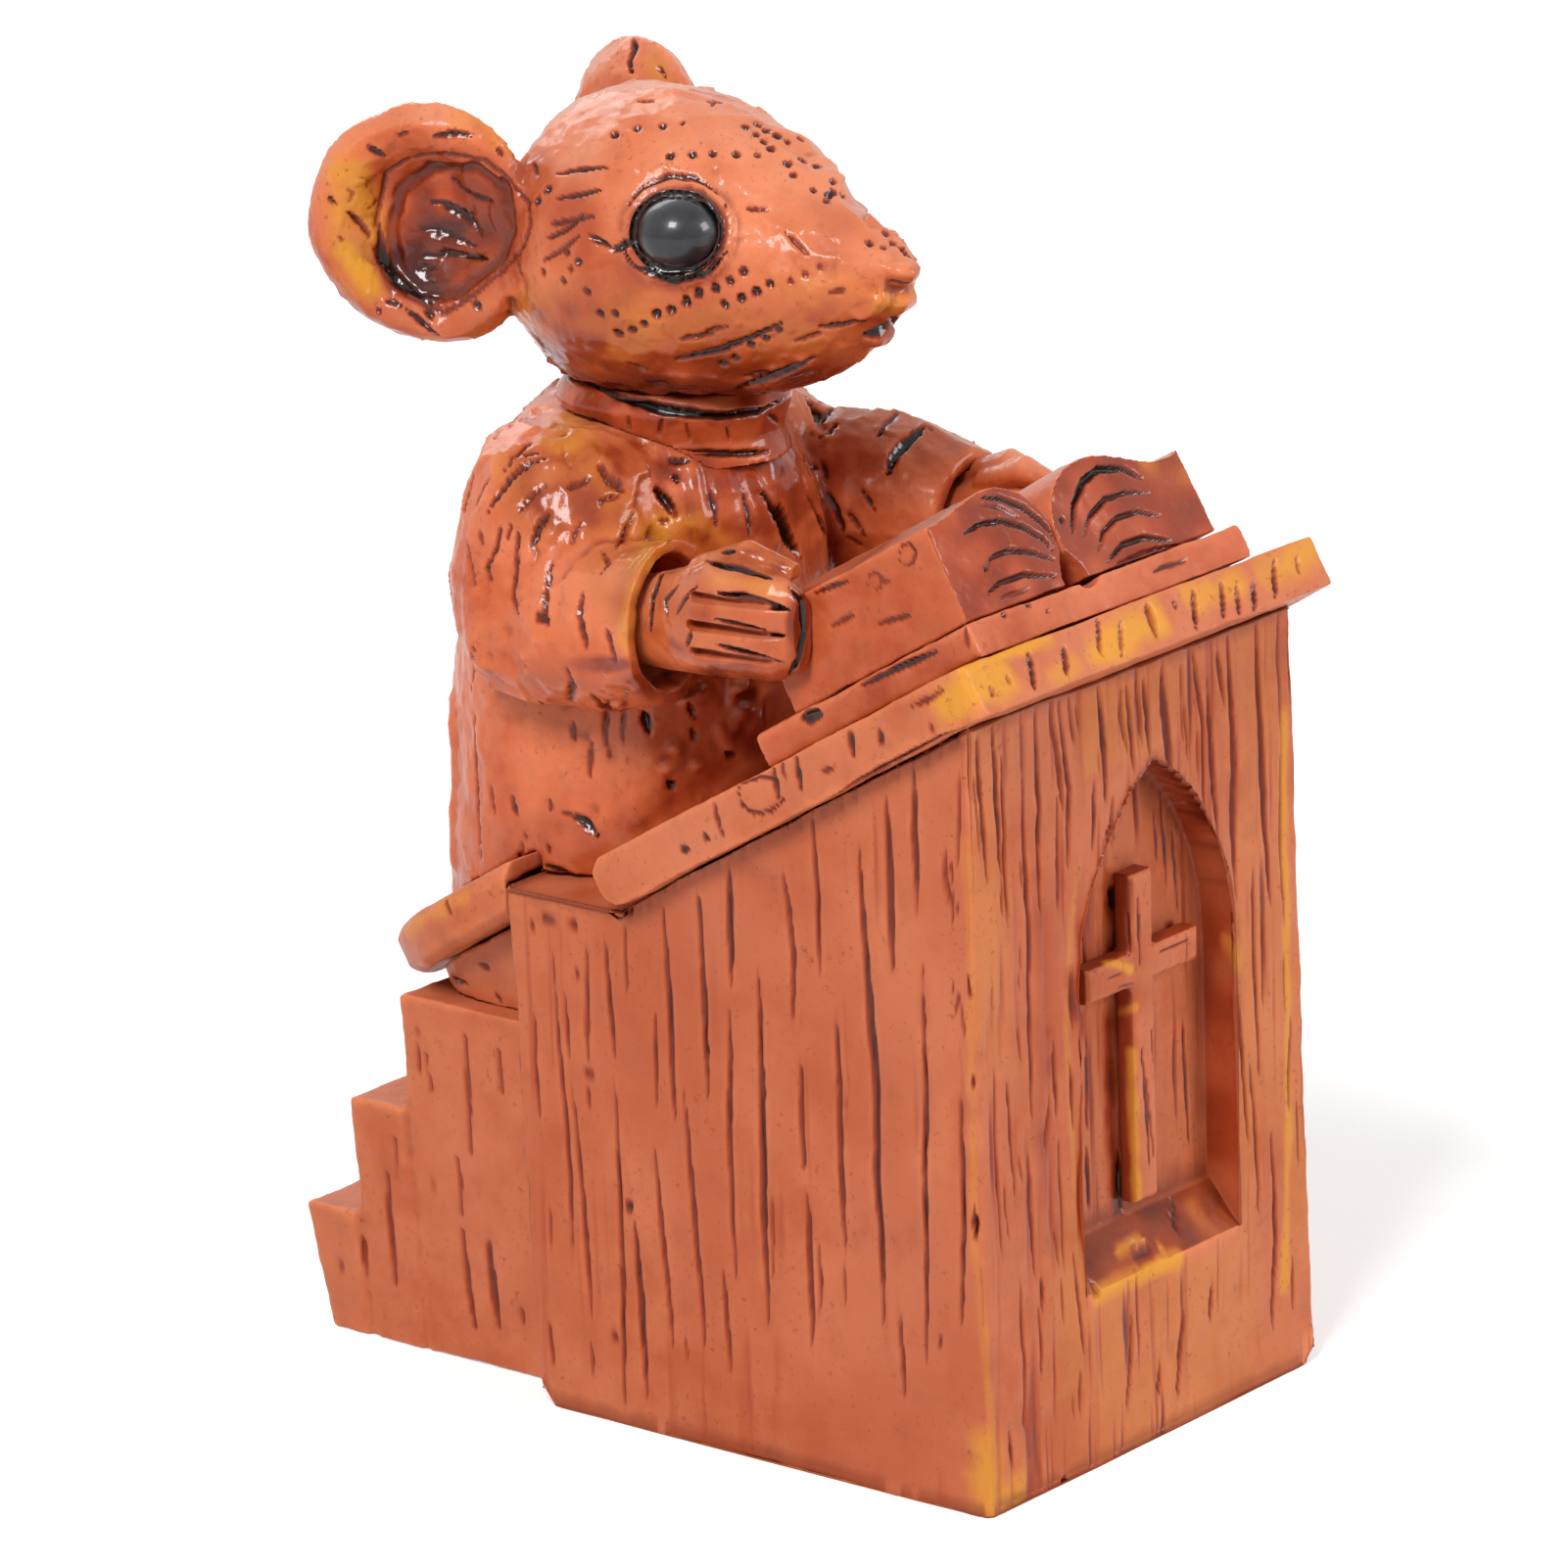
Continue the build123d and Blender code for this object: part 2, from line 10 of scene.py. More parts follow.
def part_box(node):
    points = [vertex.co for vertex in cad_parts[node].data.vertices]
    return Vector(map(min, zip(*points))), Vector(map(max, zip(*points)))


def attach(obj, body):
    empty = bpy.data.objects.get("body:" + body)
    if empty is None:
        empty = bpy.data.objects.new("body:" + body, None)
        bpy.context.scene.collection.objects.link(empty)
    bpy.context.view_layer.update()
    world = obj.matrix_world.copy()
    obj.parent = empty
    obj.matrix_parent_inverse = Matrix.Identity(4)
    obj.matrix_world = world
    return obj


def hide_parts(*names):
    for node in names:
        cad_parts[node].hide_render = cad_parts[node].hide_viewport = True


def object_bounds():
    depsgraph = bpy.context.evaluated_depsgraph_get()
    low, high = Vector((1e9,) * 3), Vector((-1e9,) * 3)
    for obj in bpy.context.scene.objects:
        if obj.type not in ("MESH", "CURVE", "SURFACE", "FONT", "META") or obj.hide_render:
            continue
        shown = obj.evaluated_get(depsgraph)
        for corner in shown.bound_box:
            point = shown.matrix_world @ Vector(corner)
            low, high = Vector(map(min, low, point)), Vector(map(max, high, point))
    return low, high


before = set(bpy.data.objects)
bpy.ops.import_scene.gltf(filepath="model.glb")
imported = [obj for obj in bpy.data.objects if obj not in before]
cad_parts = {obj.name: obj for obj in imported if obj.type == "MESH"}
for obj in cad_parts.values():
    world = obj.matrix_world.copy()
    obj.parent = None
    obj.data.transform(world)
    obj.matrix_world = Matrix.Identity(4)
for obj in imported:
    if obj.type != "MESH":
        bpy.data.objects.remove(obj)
cad_box = [list(corner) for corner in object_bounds()]

# The model is in metres. Places and sizes below are in millimetres, apart from the whole numbers
# of the tables of cuts and marks, which say what they hold.
MM = 0.001

# The middles of the bead eyes, how flat they are, how far their lids reach, and where the lids
# have their crease and their ridge
EYES = {"right": (-6.4, 0.3, 65.0), "left": (5.5, 2.3, 64.3)}
EYE_SQUEEZE = 0.87
LID_REACH = 3.8
LID_CREASE = 2.42
LID_RIDGE = 2.85

# Where the walls of the lectern and of the steps stand, for the cuts in them
RIGHT_WALL, LEFT_WALL, UPPER_LEFT_WALL = -13.7, 14.6, 14.4
FRONT_WALL, BACK_WALL = -23.9, 8.4
STEPS_RIGHT, STEPS_LEFT, STEPS_BACK = -10.8, 12.4, 25.9

# The niche: its middle, half its width, its foot, its top, and how far back its edge is stained
NICHE_MIDDLE, NICHE_HALF, NICHE_FOOT, NICHE_TOP = 2.1, 6.9, 9, 38
FRONT_EDGE = -21.4

# The folds of the robe end at this height, and the head darkens below the next one
SKIRT_TOP = 46
CHEEK_HEIGHT = 63.5

# Rounding of the lectern's corners, and how many points the stray bubbles of a remesh stay under
BEVEL = 0.25
BUBBLE_POINTS = 500

# How often a hollow is averaged with its neighbours
HOLLOW_PASSES = 6

# Where the camera stands, which way it leans, and how it frames the ornament
AZIMUTH = math.radians(-50.7)
ELEVATION = math.radians(15.9)
ROLL = math.radians(-1.83)
DISTANCE = 480
AIM = Vector((0, -4, 40))
PICTURE_SIZE = 1601
AIM_COLUMN = 851
AIM_ROW = 686
PIXELS_PER_MM = 19.0
SENSOR = 36
REACH = PIXELS_PER_MM * DISTANCE

# How far apart, in the picture, the sight lines along a mark are
SIGHT_STEP = 6

camera_back = Vector((
    math.sin(AZIMUTH) * math.cos(ELEVATION),
    -math.cos(AZIMUTH) * math.cos(ELEVATION),
    math.sin(ELEVATION),
))
level_right = Vector((math.cos(AZIMUTH), math.sin(AZIMUTH), 0))
level_up = camera_back.cross(level_right)
camera_right = level_right * math.cos(ROLL) + level_up * math.sin(ROLL)
camera_up = level_up * math.cos(ROLL) - level_right * math.sin(ROLL)
camera_place = AIM + camera_back * DISTANCE


def sight(column, row):
    """Direction of the camera's line of sight through a place in its picture."""
    across = camera_right * (column - AIM_COLUMN) / REACH
    down = camera_up * (row - AIM_ROW) / REACH
    return (across - down - camera_back).normalized()


def grain(places, size, seed):
    """Smooth random values from -1 to 1 over space, with lumps of one size."""
    cells = places / size
    corner = np.floor(cells).astype(np.int64)
    share = cells - corner
    share = share * share * (3 - 2 * share)
    total = np.zeros(len(places))
    for dx in (0, 1):
        for dy in (0, 1):
            for dz in (0, 1):
                key = (corner[:, 0] + dx) * 73856093
                key = key ^ (corner[:, 1] + dy) * 19349663
                key = key ^ (corner[:, 2] + dz) * 83492791 ^ seed * 40503
                key = (key ^ (key >> 13)) * 1274126177 & 0x7FFFFFFF
                key = (key ^ (key >> 16)) * 668265263 & 0x7FFFFFFF
                weight = np.where(dx, share[:, 0], 1 - share[:, 0])
                weight = weight * np.where(dy, share[:, 1], 1 - share[:, 1])
                weight = weight * np.where(dz, share[:, 2], 1 - share[:, 2])
                total += weight * (key / 0x3FFFFFFF - 1)
    return total


def merged(node):
    """A copy of a CAD node's mesh with its loose triangles joined."""
    shape = bmesh.new()
    shape.from_mesh(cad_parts[node].data)
    bmesh.ops.remove_doubles(shape, verts=shape.verts, dist=0.0002 * MM)
    return shape


def blank(name, nodes, voxel, passes):
    """One closed, even mesh of the nodes, fused where they meet and a little rounded."""
    joined = bmesh.new()
    for node in nodes:
        part = merged(node)
        mesh = bpy.data.meshes.new(node)
        part.to_mesh(mesh)
        part.free()
        joined.from_mesh(mesh)
        bpy.data.meshes.remove(mesh)
    mesh = bpy.data.meshes.new(name)
    joined.to_mesh(mesh)
    joined.free()
    holder = bpy.data.objects.new(name, mesh)
    bpy.context.scene.collection.objects.link(holder)
    even = holder.modifiers.new("even", "REMESH")
    even.mode = "VOXEL"
    even.voxel_size = voxel * MM
    depsgraph = bpy.context.evaluated_depsgraph_get()
    remeshed = bpy.data.meshes.new_from_object(holder.evaluated_get(depsgraph))
    bpy.data.objects.remove(holder)
    bpy.data.meshes.remove(mesh)
    shape = bmesh.new()
    shape.from_mesh(remeshed)
    bpy.data.meshes.remove(remeshed)
    if len(nodes) > 1:
        drop_crumbs(shape)
    for _ in range(passes):
        bmesh.ops.smooth_vert(
            shape, verts=shape.verts, factor=0.5, use_axis_x=True, use_axis_y=True, use_axis_z=True
        )
    return shape


def drop_crumbs(shape):
    """Deletes the tiny closed bubbles that a remesh can leave inside a form."""
    left = set(shape.verts)
    while left:
        start = left.pop()
        island = [start]
        for vert in island:
            for edge in vert.link_edges:
                other = edge.other_vert(vert)
                if other in left:
                    left.remove(other)
                    island.append(other)
        if len(island) < BUBBLE_POINTS:
            bmesh.ops.delete(shape, geom=island, context="VERTS")


def narrow_eye(shape, middle):
    """Squeezes an eye and its lids a little flatter from top to bottom."""
    for vert in shape.verts:
        reach = (vert.co / MM - Vector(middle)).length
        if reach < LID_REACH:
            share = min(1, (LID_REACH - reach) / 0.9)
            height = vert.co.z / MM - middle[2]
            vert.co.z = (middle[2] + height * (1 - (1 - EYE_SQUEEZE) * share)) * MM
    return shape


def slice_faces(shape, faces, axis, positions):
    """Cuts faces into strips at the positions along an axis."""
    normal = Vector((axis == 0, axis == 1, axis == 2))
    ahead = list(faces)
    for position in positions:
        edges = {edge for face in ahead for edge in face.edges}
        verts = {vert for face in ahead for vert in face.verts}
        cut = bmesh.ops.bisect_plane(
            shape, geom=ahead + list(edges) + list(verts), dist=0.0001 * MM,
            plane_co=normal * position, plane_no=normal,
        )
        ahead = [
            item
            for item in cut["geom"]
            if isinstance(item, bmesh.types.BMFace)
            and max(vert.co[axis] for vert in item.verts) > position + 0.001 * MM
        ]


def panelled(node, strip, row, passes):
    """A flat walled node with its walls cut into narrow upright strips, ready for fine cuts."""
    shape = merged(node)
    bmesh.ops.dissolve_limit(
        shape, angle_limit=math.radians(0.5), verts=shape.verts, edges=shape.edges
    )
    low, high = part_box(node)
    corners = [edge for edge in shape.edges if edge.calc_face_angle() > math.radians(50)]
    bmesh.ops.bevel(
        shape, geom=corners, offset=BEVEL * MM, segments=2, profile=0.5, affect="EDGES",
        material=-1, clamp_overlap=True,
    )
    shape.normal_update()
    across = [face for face in shape.faces if abs(face.normal.x) < 0.9 and abs(face.normal.z) < 0.8]
    slice_faces(shape, across, 0, np.arange(low.x + strip * MM, high.x, strip * MM))
    shape.normal_update()
    along = [face for face in shape.faces if abs(face.normal.x) >= 0.9]
    slice_faces(shape, along, 1, np.arange(low.y + strip * MM, high.y, strip * MM))
    for axis in (0, 1):
        shape.normal_update()
        tops = [face for face in shape.faces if face.normal.z > 0.3]
        slice_faces(shape, tops, axis, np.arange(low[axis] + row * MM, high[axis], row * MM))
    slice_faces(shape, shape.faces, 2, np.arange(low.z + row * MM, high.z, row * MM))
    shape.normal_update()
    sides = [vert for vert in shape.verts if all(abs(face.normal.z) < 0.5 for face in vert.link_faces)]
    for _ in range(passes):
        bmesh.ops.smooth_vert(
            shape, verts=sides, factor=0.3, use_axis_x=True, use_axis_y=True, use_axis_z=False
        )
    return shape


def numbers(points, kind):
    """The places or outward directions of a mesh's points, one row each."""
    values = np.zeros(len(points) * 3)
    points.foreach_get(kind, values)
    return values.reshape(-1, 3)


def lift(layer, values, where=slice(None)):
    """Raises a layer to at least the given values, on all points or on some."""
    layer[where] = np.maximum(layer[where], values)


class Carving:
    """A piece on the bench: its points, their outward directions, and the cuts and paint so far."""

    def __init__(self, name, shape):
        self.mesh = bpy.data.meshes.new(name)
        shape.to_mesh(self.mesh)
        self.tree = BVHTree.FromBMesh(shape)
        shape.free()
        self.places = numbers(self.mesh.vertices, "co") / MM
        self.outward = numbers(self.mesh.vertices, "normal")
        self.cut, self.raised, self.ink, self.ochre, self.chips = np.zeros((5, len(self.places)))
        self.pull = np.zeros((len(self.places), 3))

    def seen(self, pixels):
        """The line that the camera sees along places in its picture, column and row in turn."""
        corners = np.array(pixels, float).reshape(-1, 2)
        stops = [corners[0]]
        for start, end in zip(corners, corners[1:]):
            count = max(1, int(np.linalg.norm(end - start) / SIGHT_STEP))
            stops += [start + (end - start) * step / count for step in range(1, count + 1)]
        line = []
        for column, row in stops:
            hit = self.tree.ray_cast(camera_place * MM, sight(column, row))[0]
            if hit is not None:
                line.append(np.array(hit) / MM)
        return line

    def laid(self, line):
        """The nearest line on the piece."""
        return [np.array(self.tree.find_nearest(Vector(point) * MM)[0]) / MM for point in line]

    def mirrored(self, line):
        """The same line on the other side of the ornament."""
        return self.laid([point * np.array((-1, 1, 1)) for point in line])

    def near(self, line, reach):
        """The points within reach of a line, how far off each is, and its share of the length."""
        if not len(line):
            return np.zeros(0, int), np.zeros(0), np.zeros(0)
        line = np.array(line, float)
        inside = np.all(self.places > line.min(0) - reach, axis=1)
        inside &= np.all(self.places < line.max(0) + reach, axis=1)
        picked = np.nonzero(inside)[0]
        points = self.places[picked]
        gap = np.linalg.norm(points - line[0], axis=1)
        along = np.zeros(len(picked))
        travelled = 0.0
        for start, end in zip(line, line[1:]):
            run = end - start
            length = max(np.linalg.norm(run), 1e-6)
            share = np.clip((points - start) @ run / length**2, 0, 1)
            distance = np.linalg.norm(points - start - share[:, None] * run, axis=1)
            closer = distance <= gap
            gap[closer] = distance[closer]
            along[closer] = travelled + share[closer] * length
            travelled += length
        return picked, gap, along / max(travelled, 1e-6)

    def press(self, line, width, depth, ink=1.0, pointed=0.6):
        """Cuts a groove along a line, narrower at its ends, and lets dark paint run into it."""
        picked, gap, share = self.near(line, width)
        ends = np.sin(np.pi * np.clip(share, 0.02, 0.98)) if len(line) > 1 else np.ones(len(gap))
        ragged = 1 + 0.25 * grain(self.places[picked], 0.5, 11)
        half = width / 2 * ends**pointed * ragged
        fall = np.clip(1 - (gap / np.maximum(half, 0.01)) ** 2, 0, 1)
        lift(self.cut, depth * fall, picked)
        dark_patch = np.clip(1.25 - gap / np.maximum(half, 0.01), 0, 1)
        lift(self.ink, ink * np.minimum(1, 1.6 * dark_patch), picked)

    def heap(self, line, width, height):
        """Raises a rounded ridge along a line."""
        picked, gap, _ = self.near(line, width)
        fall = np.clip(1 - (2 * gap / width) ** 2, 0, 1) ** 2
        lift(self.raised, height * fall, picked)

    def dark_patch(self, line, reach, ink, grip=1.0):
        """Lays a soft, blotchy dark patch around a line; some are dark washes, some painted shadow."""
        picked, gap, _ = self.near(line, reach)
        patch = np.clip(1 - gap / reach, 0, 1) ** grip
        patch *= 0.75 + 0.45 * grain(self.places[picked], 0.9, 5)
        lift(self.ink, ink * np.clip(patch, 0, 1), picked)

    def gild(self, line, reach, strength=1.0):
        """Rubs golden ochre paint around a line, with a broken edge."""
        picked, gap, _ = self.near(line, reach)
        patch = 1.4 * (1 - gap / reach) + 0.5 * grain(self.places[picked], 1.1, 23)
        patch = strength * np.clip(patch, 0, 1)
        lift(self.ochre, patch, picked)
        self.ink[picked] *= 1 - 0.7 * patch

    def oval(self, column, row, wide, high, mirrored=False):
        """How far inside an oval of the camera's picture each point is, 0 past its edge."""
        flip = np.array((-1, 1, 1) if mirrored else (1, 1, 1))
        offset = self.places * flip - np.array(camera_place)
        away = -(offset @ np.array(camera_back))
        across = AIM_COLUMN + offset @ np.array(camera_right) / away * REACH - column
        down = AIM_ROW - offset @ np.array(camera_up) / away * REACH - row
        facing = -np.einsum("ij,ij->i", offset, self.outward * flip) / DISTANCE
        within = np.clip(2 * (1 - np.hypot(across / wide, down / high)), 0, 1)
        return within * np.clip(4 * facing, 0, 1)

    def wash_and_shade(self, patches, mirrored=False):
        """Lays blotchy washes in ovals of the picture: column, row, half sizes, ink and ochre. Some of the
        ink is painted shade.
        """
        mottle = 0.8 + 0.5 * grain(self.places, 1.3, 17)
        for column, row, wide, high, ink, ochre in patches:
            patch = self.oval(column, row, wide, high, mirrored) * mottle
            lift(self.ink, ink * patch)
            lift(self.ochre, ochre * patch)

    def mottle(self, layer, where, least, spread, size, seed, stretch=(1, 1, 1)):
        """Raises a layer to a blotchy level on some of the points."""
        lift(layer, least + spread * grain(self.places[where] * stretch, size, seed), where)

    def drag(self, pixels, reach, right, up, sides=(1, -1)):
        """Draws the surface near a line sideways and upwards in the picture."""
        line = self.seen(pixels)
        for flip in sides:
            moved = np.array(camera_right) * right + np.array(camera_up) * up
            moved[0] *= flip
            picked, gap, _ = self.near(line if flip == 1 else self.mirrored(line), reach)
            pull = np.clip(1 - gap / reach, 0, 1)
            self.pull[picked] += moved * (pull * pull * (3 - 2 * pull))[:, None]

    def chip(self, size, strength, seed):
        """Planes the rounded form into small flats, as a knife leaves them."""
        chance = np.random.default_rng(seed)
        spread = np.ptp(self.places, axis=0)
        area = spread[0] * spread[1] + spread[1] * spread[2] + spread[0] * spread[2]
        count = int(2.2 * area / size**2)
        centres = self.places[chance.choice(len(self.places), count, replace=False)]
        cell = np.concatenate([
            np.argmin(np.sum(centres**2, axis=1) - 2 * block @ centres.T, axis=1)
            for block in np.array_split(self.places, 40)
        ])
        members = np.maximum(np.bincount(cell, minlength=count), 1)

        def averaged(values):
            totals = [np.bincount(cell, column, count) for column in values.T]
            return np.stack(totals, axis=1) / members[:, None]

        facing = averaged(self.outward)
        agreement = np.linalg.norm(facing, axis=1)
        facing /= np.maximum(agreement, 1e-6)[:, None]
        middle = averaged(self.places)
        height = np.einsum("ij,ij->i", self.places - middle[cell], facing[cell])
        flat = strength * np.clip((agreement[cell] - 0.86) / 0.1, 0, 1)
        self.chips = np.clip(-height * flat, -0.3, 0.3)

    def finish(self, nodes, material, wobble=0.08, wobble_size=3.0, fine=0.02):
        """Moves the points, works out the hollows and edges, and makes the piece."""
        lumps = wobble * grain(self.places, wobble_size, 3) - wobble
        small = fine * grain(self.places, 0.35, 8)
        lumps += wobble / 2 * grain(self.places, wobble_size / 3, 4) + small
        shift = lumps - self.cut + self.raised + self.chips
        moved = (self.places + self.outward * shift[:, None] + self.pull) * MM
        moved = np.clip(moved, *cad_box)
        mesh = self.mesh
        mesh.vertices.foreach_set("co", moved.ravel())
        mesh.update()
        hollow = hollowness(mesh)
        # Upward faces get a painted sheen: a paler colour that stands in for the highlight of the light
        # from above
        painted_top_sheen = np.clip(0.2 + self.outward[:, 2], 0, 1) * (0.8 + 0.5 * grain(self.places, 2.2, 29))
        layers = {"ink": self.ink, "ochre": self.ochre, "hollow": hollow, "painted_top_sheen": painted_top_sheen}
        for layer, values in layers.items():
            attribute = mesh.attributes.new(layer, "FLOAT", "POINT")
            attribute.data.foreach_set("value", values.astype(np.float32))
        mesh.shade_smooth()
        mesh.materials.append(material)
        piece = bpy.data.objects.new(mesh.name, mesh)
        bpy.context.scene.collection.objects.link(piece)
        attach(piece, "root")
        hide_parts(*nodes)


def hollowness(mesh):
    """How hollow (positive) or sharp (negative) the surface is at each point, blurred a little."""
    count = len(mesh.vertices)
    places = numbers(mesh.vertices, "co") / MM
    outward = numbers(mesh.vertices, "normal")
    ends = np.zeros(len(mesh.edges) * 2, np.int64)
    mesh.edges.foreach_get("vertices", ends)
    first, second = ends.reshape(-1, 2).T
    links = np.bincount(first, minlength=count) + np.bincount(second, minlength=count)
    links = np.maximum(links, 1)

    def around(values):
        ahead = np.bincount(first, values[second], count)
        return (ahead + np.bincount(second, values[first], count)) / links

    mean = np.stack([around(places[:, axis]) for axis in range(3)], axis=1)
    for _ in range(HOLLOW_PASSES):
        mean = np.stack([around(mean[:, axis]) for axis in range(3)], axis=1)
    bend = np.einsum("ij,ij->i", mean - places, outward)
    for _ in range(2):
        bend = 0.5 * bend + 0.5 * around(bend)
    return np.clip(bend / 0.12, -1, 1)


class Wire:
    """A socket in a material. Sums done on it add Math nodes."""

    def __init__(self, tree, socket=None):
        self.tree = tree
        self.socket = socket

    def node(self, kind, settings, inputs, output=0):
        """Adds a node with its settings, then the values or wires of its inputs."""
        node = self.tree.nodes.new(kind)
        for key, value in settings.items():
            setattr(node, key, value)
        for key, value in inputs.items():
            if isinstance(value, Wire):
                self.tree.links.new(value.socket, node.inputs[key])
            else:
                node.inputs[key].default_value = value
        return Wire(self.tree, node.outputs[output])

    def sum(self, operation, first, second):
        return self.node("ShaderNodeMath", {"operation": operation}, {0: first, 1: second})

    def __add__(self, other):
        return self.sum("ADD", self, other)

    __radd__ = __add__

    def __mul__(self, other):
        return self.sum("MULTIPLY", self, other)

    __rmul__ = __mul__

    def __sub__(self, other):
        return self.sum("SUBTRACT", self, other)

    def __rsub__(self, other):
        return self.sum("SUBTRACT", other, self)

    def clipped(self):
        """The value kept between 0 and 1."""
        return self.node("ShaderNodeClamp", {}, {"Value": self})

    def blended(self, first, second):
        """A colour that goes from the first to the second as this value goes from 0 to 1."""
        return self.node(
            "ShaderNodeMix", {"data_type": "RGBA"}, {0: self, 6: first, 7: second}, output=2
        )


def colour(red, green, blue):
    """A paint colour as the picture shows it, 0 to 255, turned into Blender's linear light."""
    levels = [level / 255 for level in (red, green, blue)]
    return tuple(
        level / 12.92 if level <= 0.04045 else ((level + 0.055) / 1.055) ** 2.4 for level in levels
    ) + (1.0,)


# Paints that every piece of resin shares
# A painted sheen for upward faces, standing in for the highlight of the light from above
PAINTED_SHEEN = colour(228, 156, 122)
DUST = colour(158, 84, 58)
# Paler paint for sharp edges
EDGE_PALE = colour(226, 130, 84)
OCHRE = colour(210, 142, 44)
# Dark wash for the hollows, which also stands in for the shade that falls in them
HOLLOW_WASH_AND_SHADE = colour(102, 32, 12)
SPECK = colour(96, 40, 24)
TINT = colour(150, 54, 22)
BROWN = colour(84, 27, 12)
BLACK = colour(22, 12, 10)


def new_material(name):
    """An empty material with its shader, and a wire to build on."""
    material = bpy.data.materials.new(name)
    material.use_nodes = True
    shader = material.node_tree.nodes["Principled BSDF"]
    return material, shader, Wire(material.node_tree)


def painted_resin(name, base, light, deep, gloss, wash_and_shade, coat, sheen_strength):
    """Cast resin under terracotta paint, with dark washes and painted shade in the hollows, paler paint on
    sharp edges, a painted sheen on upward faces, and an uneven varnish.
    """
    material, shader, start = new_material(name)
    spot = start.node("ShaderNodeTexCoord", {}, {}, output=3)

    def noise(scale, detail, roughness=0.5):
        return start.node(
            "ShaderNodeTexNoise",
            {"noise_dimensions": "3D"},
            {"Vector": spot, "Scale": scale, "Detail": detail, "Roughness": roughness},
        )

    def layer(label):
        return start.node("ShaderNodeAttribute", {"attribute_name": label}, {}, output=2)

    broad = noise(90, 2)
    ripple = noise(1000, 2)
    cloudy = noise(320, 4, 0.6)
    speckled = noise(2600, 3, 0.7)
    ink = layer("ink")
    ochre = layer("ochre")
    hollow = layer("hollow")
    painted_top_sheen = layer("painted_top_sheen")
    paint = ((broad - 0.5) * 2.2 + (cloudy - 0.5) * 1.6 + 0.5).clipped().blended(deep, light)
    paint = (0.5 + (cloudy - 0.5) * 1.2).clipped().blended(paint, base)
    # Upward faces turn paler: painted sheen for the light from above
    paint = (painted_top_sheen * sheen_strength + (cloudy - 0.5) * 0.3).clipped().blended(paint, PAINTED_SHEEN)
    dusty = ((noise(480, 4, 0.7) - 0.54) * 5).clipped() * 0.3
    paint = dusty.blended(paint, DUST)
    # Sharp edges turn paler
    edge_paling = (hollow * -0.9 - 0.12 + (cloudy - 0.5) * 0.6).clipped() * 0.6
    paint = edge_paling.blended(paint, EDGE_PALE)
    paint = (ochre * (0.75 + 0.5 * cloudy)).clipped().blended(paint, OCHRE)
    # Hollows darken: dark wash pooled in them, and painted shade for the shade that falls there
    hollow_darkening = (hollow * wash_and_shade - 0.08 + (cloudy - 0.5) * 0.5).clipped()
    paint = (hollow_darkening * 0.8).blended(paint, HOLLOW_WASH_AND_SHADE)
    specks = ((speckled - 0.61) * 7 + (cloudy - 0.5) * 2).clipped() * 0.55
    paint = specks.blended(paint, SPECK)
    # Thin ink and painted shade tint the paint; more of them turns brown, and the most turns black
    glaze = (ink * 3 + (cloudy - 0.5) * 0.7 - 0.04).clipped() * 0.9
    paint = glaze.blended(paint, TINT)
    brown = ((ink - 0.26) * 2.6 + (speckled - 0.5) * 0.3).clipped()
    paint = brown.blended(paint, BROWN)
    black = ((ink - 0.58) * 2.6 + (speckled - 0.5) * 0.7 + (cloudy - 0.5) * 0.6).clipped()
    paint = black.blended(paint, BLACK)
    start.tree.links.new(paint.socket, shader.inputs["Base Color"])
    rough = (gloss + (broad - 0.5) * 0.35 + (cloudy - 0.5) * 0.3 - ink * 0.25).clipped()
    start.tree.links.new(rough.socket, shader.inputs["Roughness"])
    varnish = (coat + ink * 0.6 + (broad - 0.5) * 0.8).clipped()
    start.tree.links.new(varnish.socket, shader.inputs["Coat Weight"])
    surface = cloudy * 0.5 + ripple * 0.3 + speckled * 0.3
    relief = start.node(
        "ShaderNodeBump", {}, {"Strength": 0.6, "Distance": 0.1 * MM, "Height": surface}
    )
    start.tree.links.new(relief.socket, shader.inputs["Normal"])
    shader.inputs["Specular IOR Level"].default_value = 0.15
    shader.inputs["Coat IOR"].default_value = 1.35
    shader.inputs["Coat Roughness"].default_value = 0.08
    return material


def varnished_bead(name):
    """Charcoal paint under a thick clear varnish."""
    material, shader, start = new_material(name)
    spot = start.node("ShaderNodeTexCoord", {}, {}, output=3)
    mottle = start.node(
        "ShaderNodeTexNoise", {}, {"Vector": spot, "Scale": 900.0, "Detail": 3.0, "Roughness": 0.6}
    )
    paint = ((mottle - 0.35) * 1.6).clipped().blended(colour(24, 24, 27), colour(52, 52, 57))
    start.tree.links.new(paint.socket, shader.inputs["Base Color"])
    rough = 0.22 + mottle * 0.2
    start.tree.links.new(rough.socket, shader.inputs["Roughness"])
    shader.inputs["Specular IOR Level"].default_value = 0.3
    shader.inputs["Coat Weight"].default_value = 0.7
    shader.inputs["Coat IOR"].default_value = 1.32
    shader.inputs["Coat Roughness"].default_value = 0.08
    return material


lectern_paint = painted_resin(
    "lectern_paint", colour(184, 97, 60), colour(198, 114, 79), colour(167, 77, 44), 0.5, 0.9, 0.08, 0.12
)
robe_paint = painted_resin(
    "robe_paint", colour(197, 94, 50), colour(214, 116, 74), colour(162, 58, 24), 0.34, 1.2, 0.25, 0.3
)
mouse_paint = painted_resin(
    "mouse_paint", colour(197, 90, 44), colour(220, 128, 80), colour(160, 60, 24), 0.32, 1.3, 0.3, 0.44
)
book_paint = painted_resin(
    "book_paint", colour(184, 84, 44), colour(204, 108, 68), colour(154, 58, 26), 0.36, 1.3, 0.2, 0.2
)
eye_paint = varnished_bead("eye_paint")

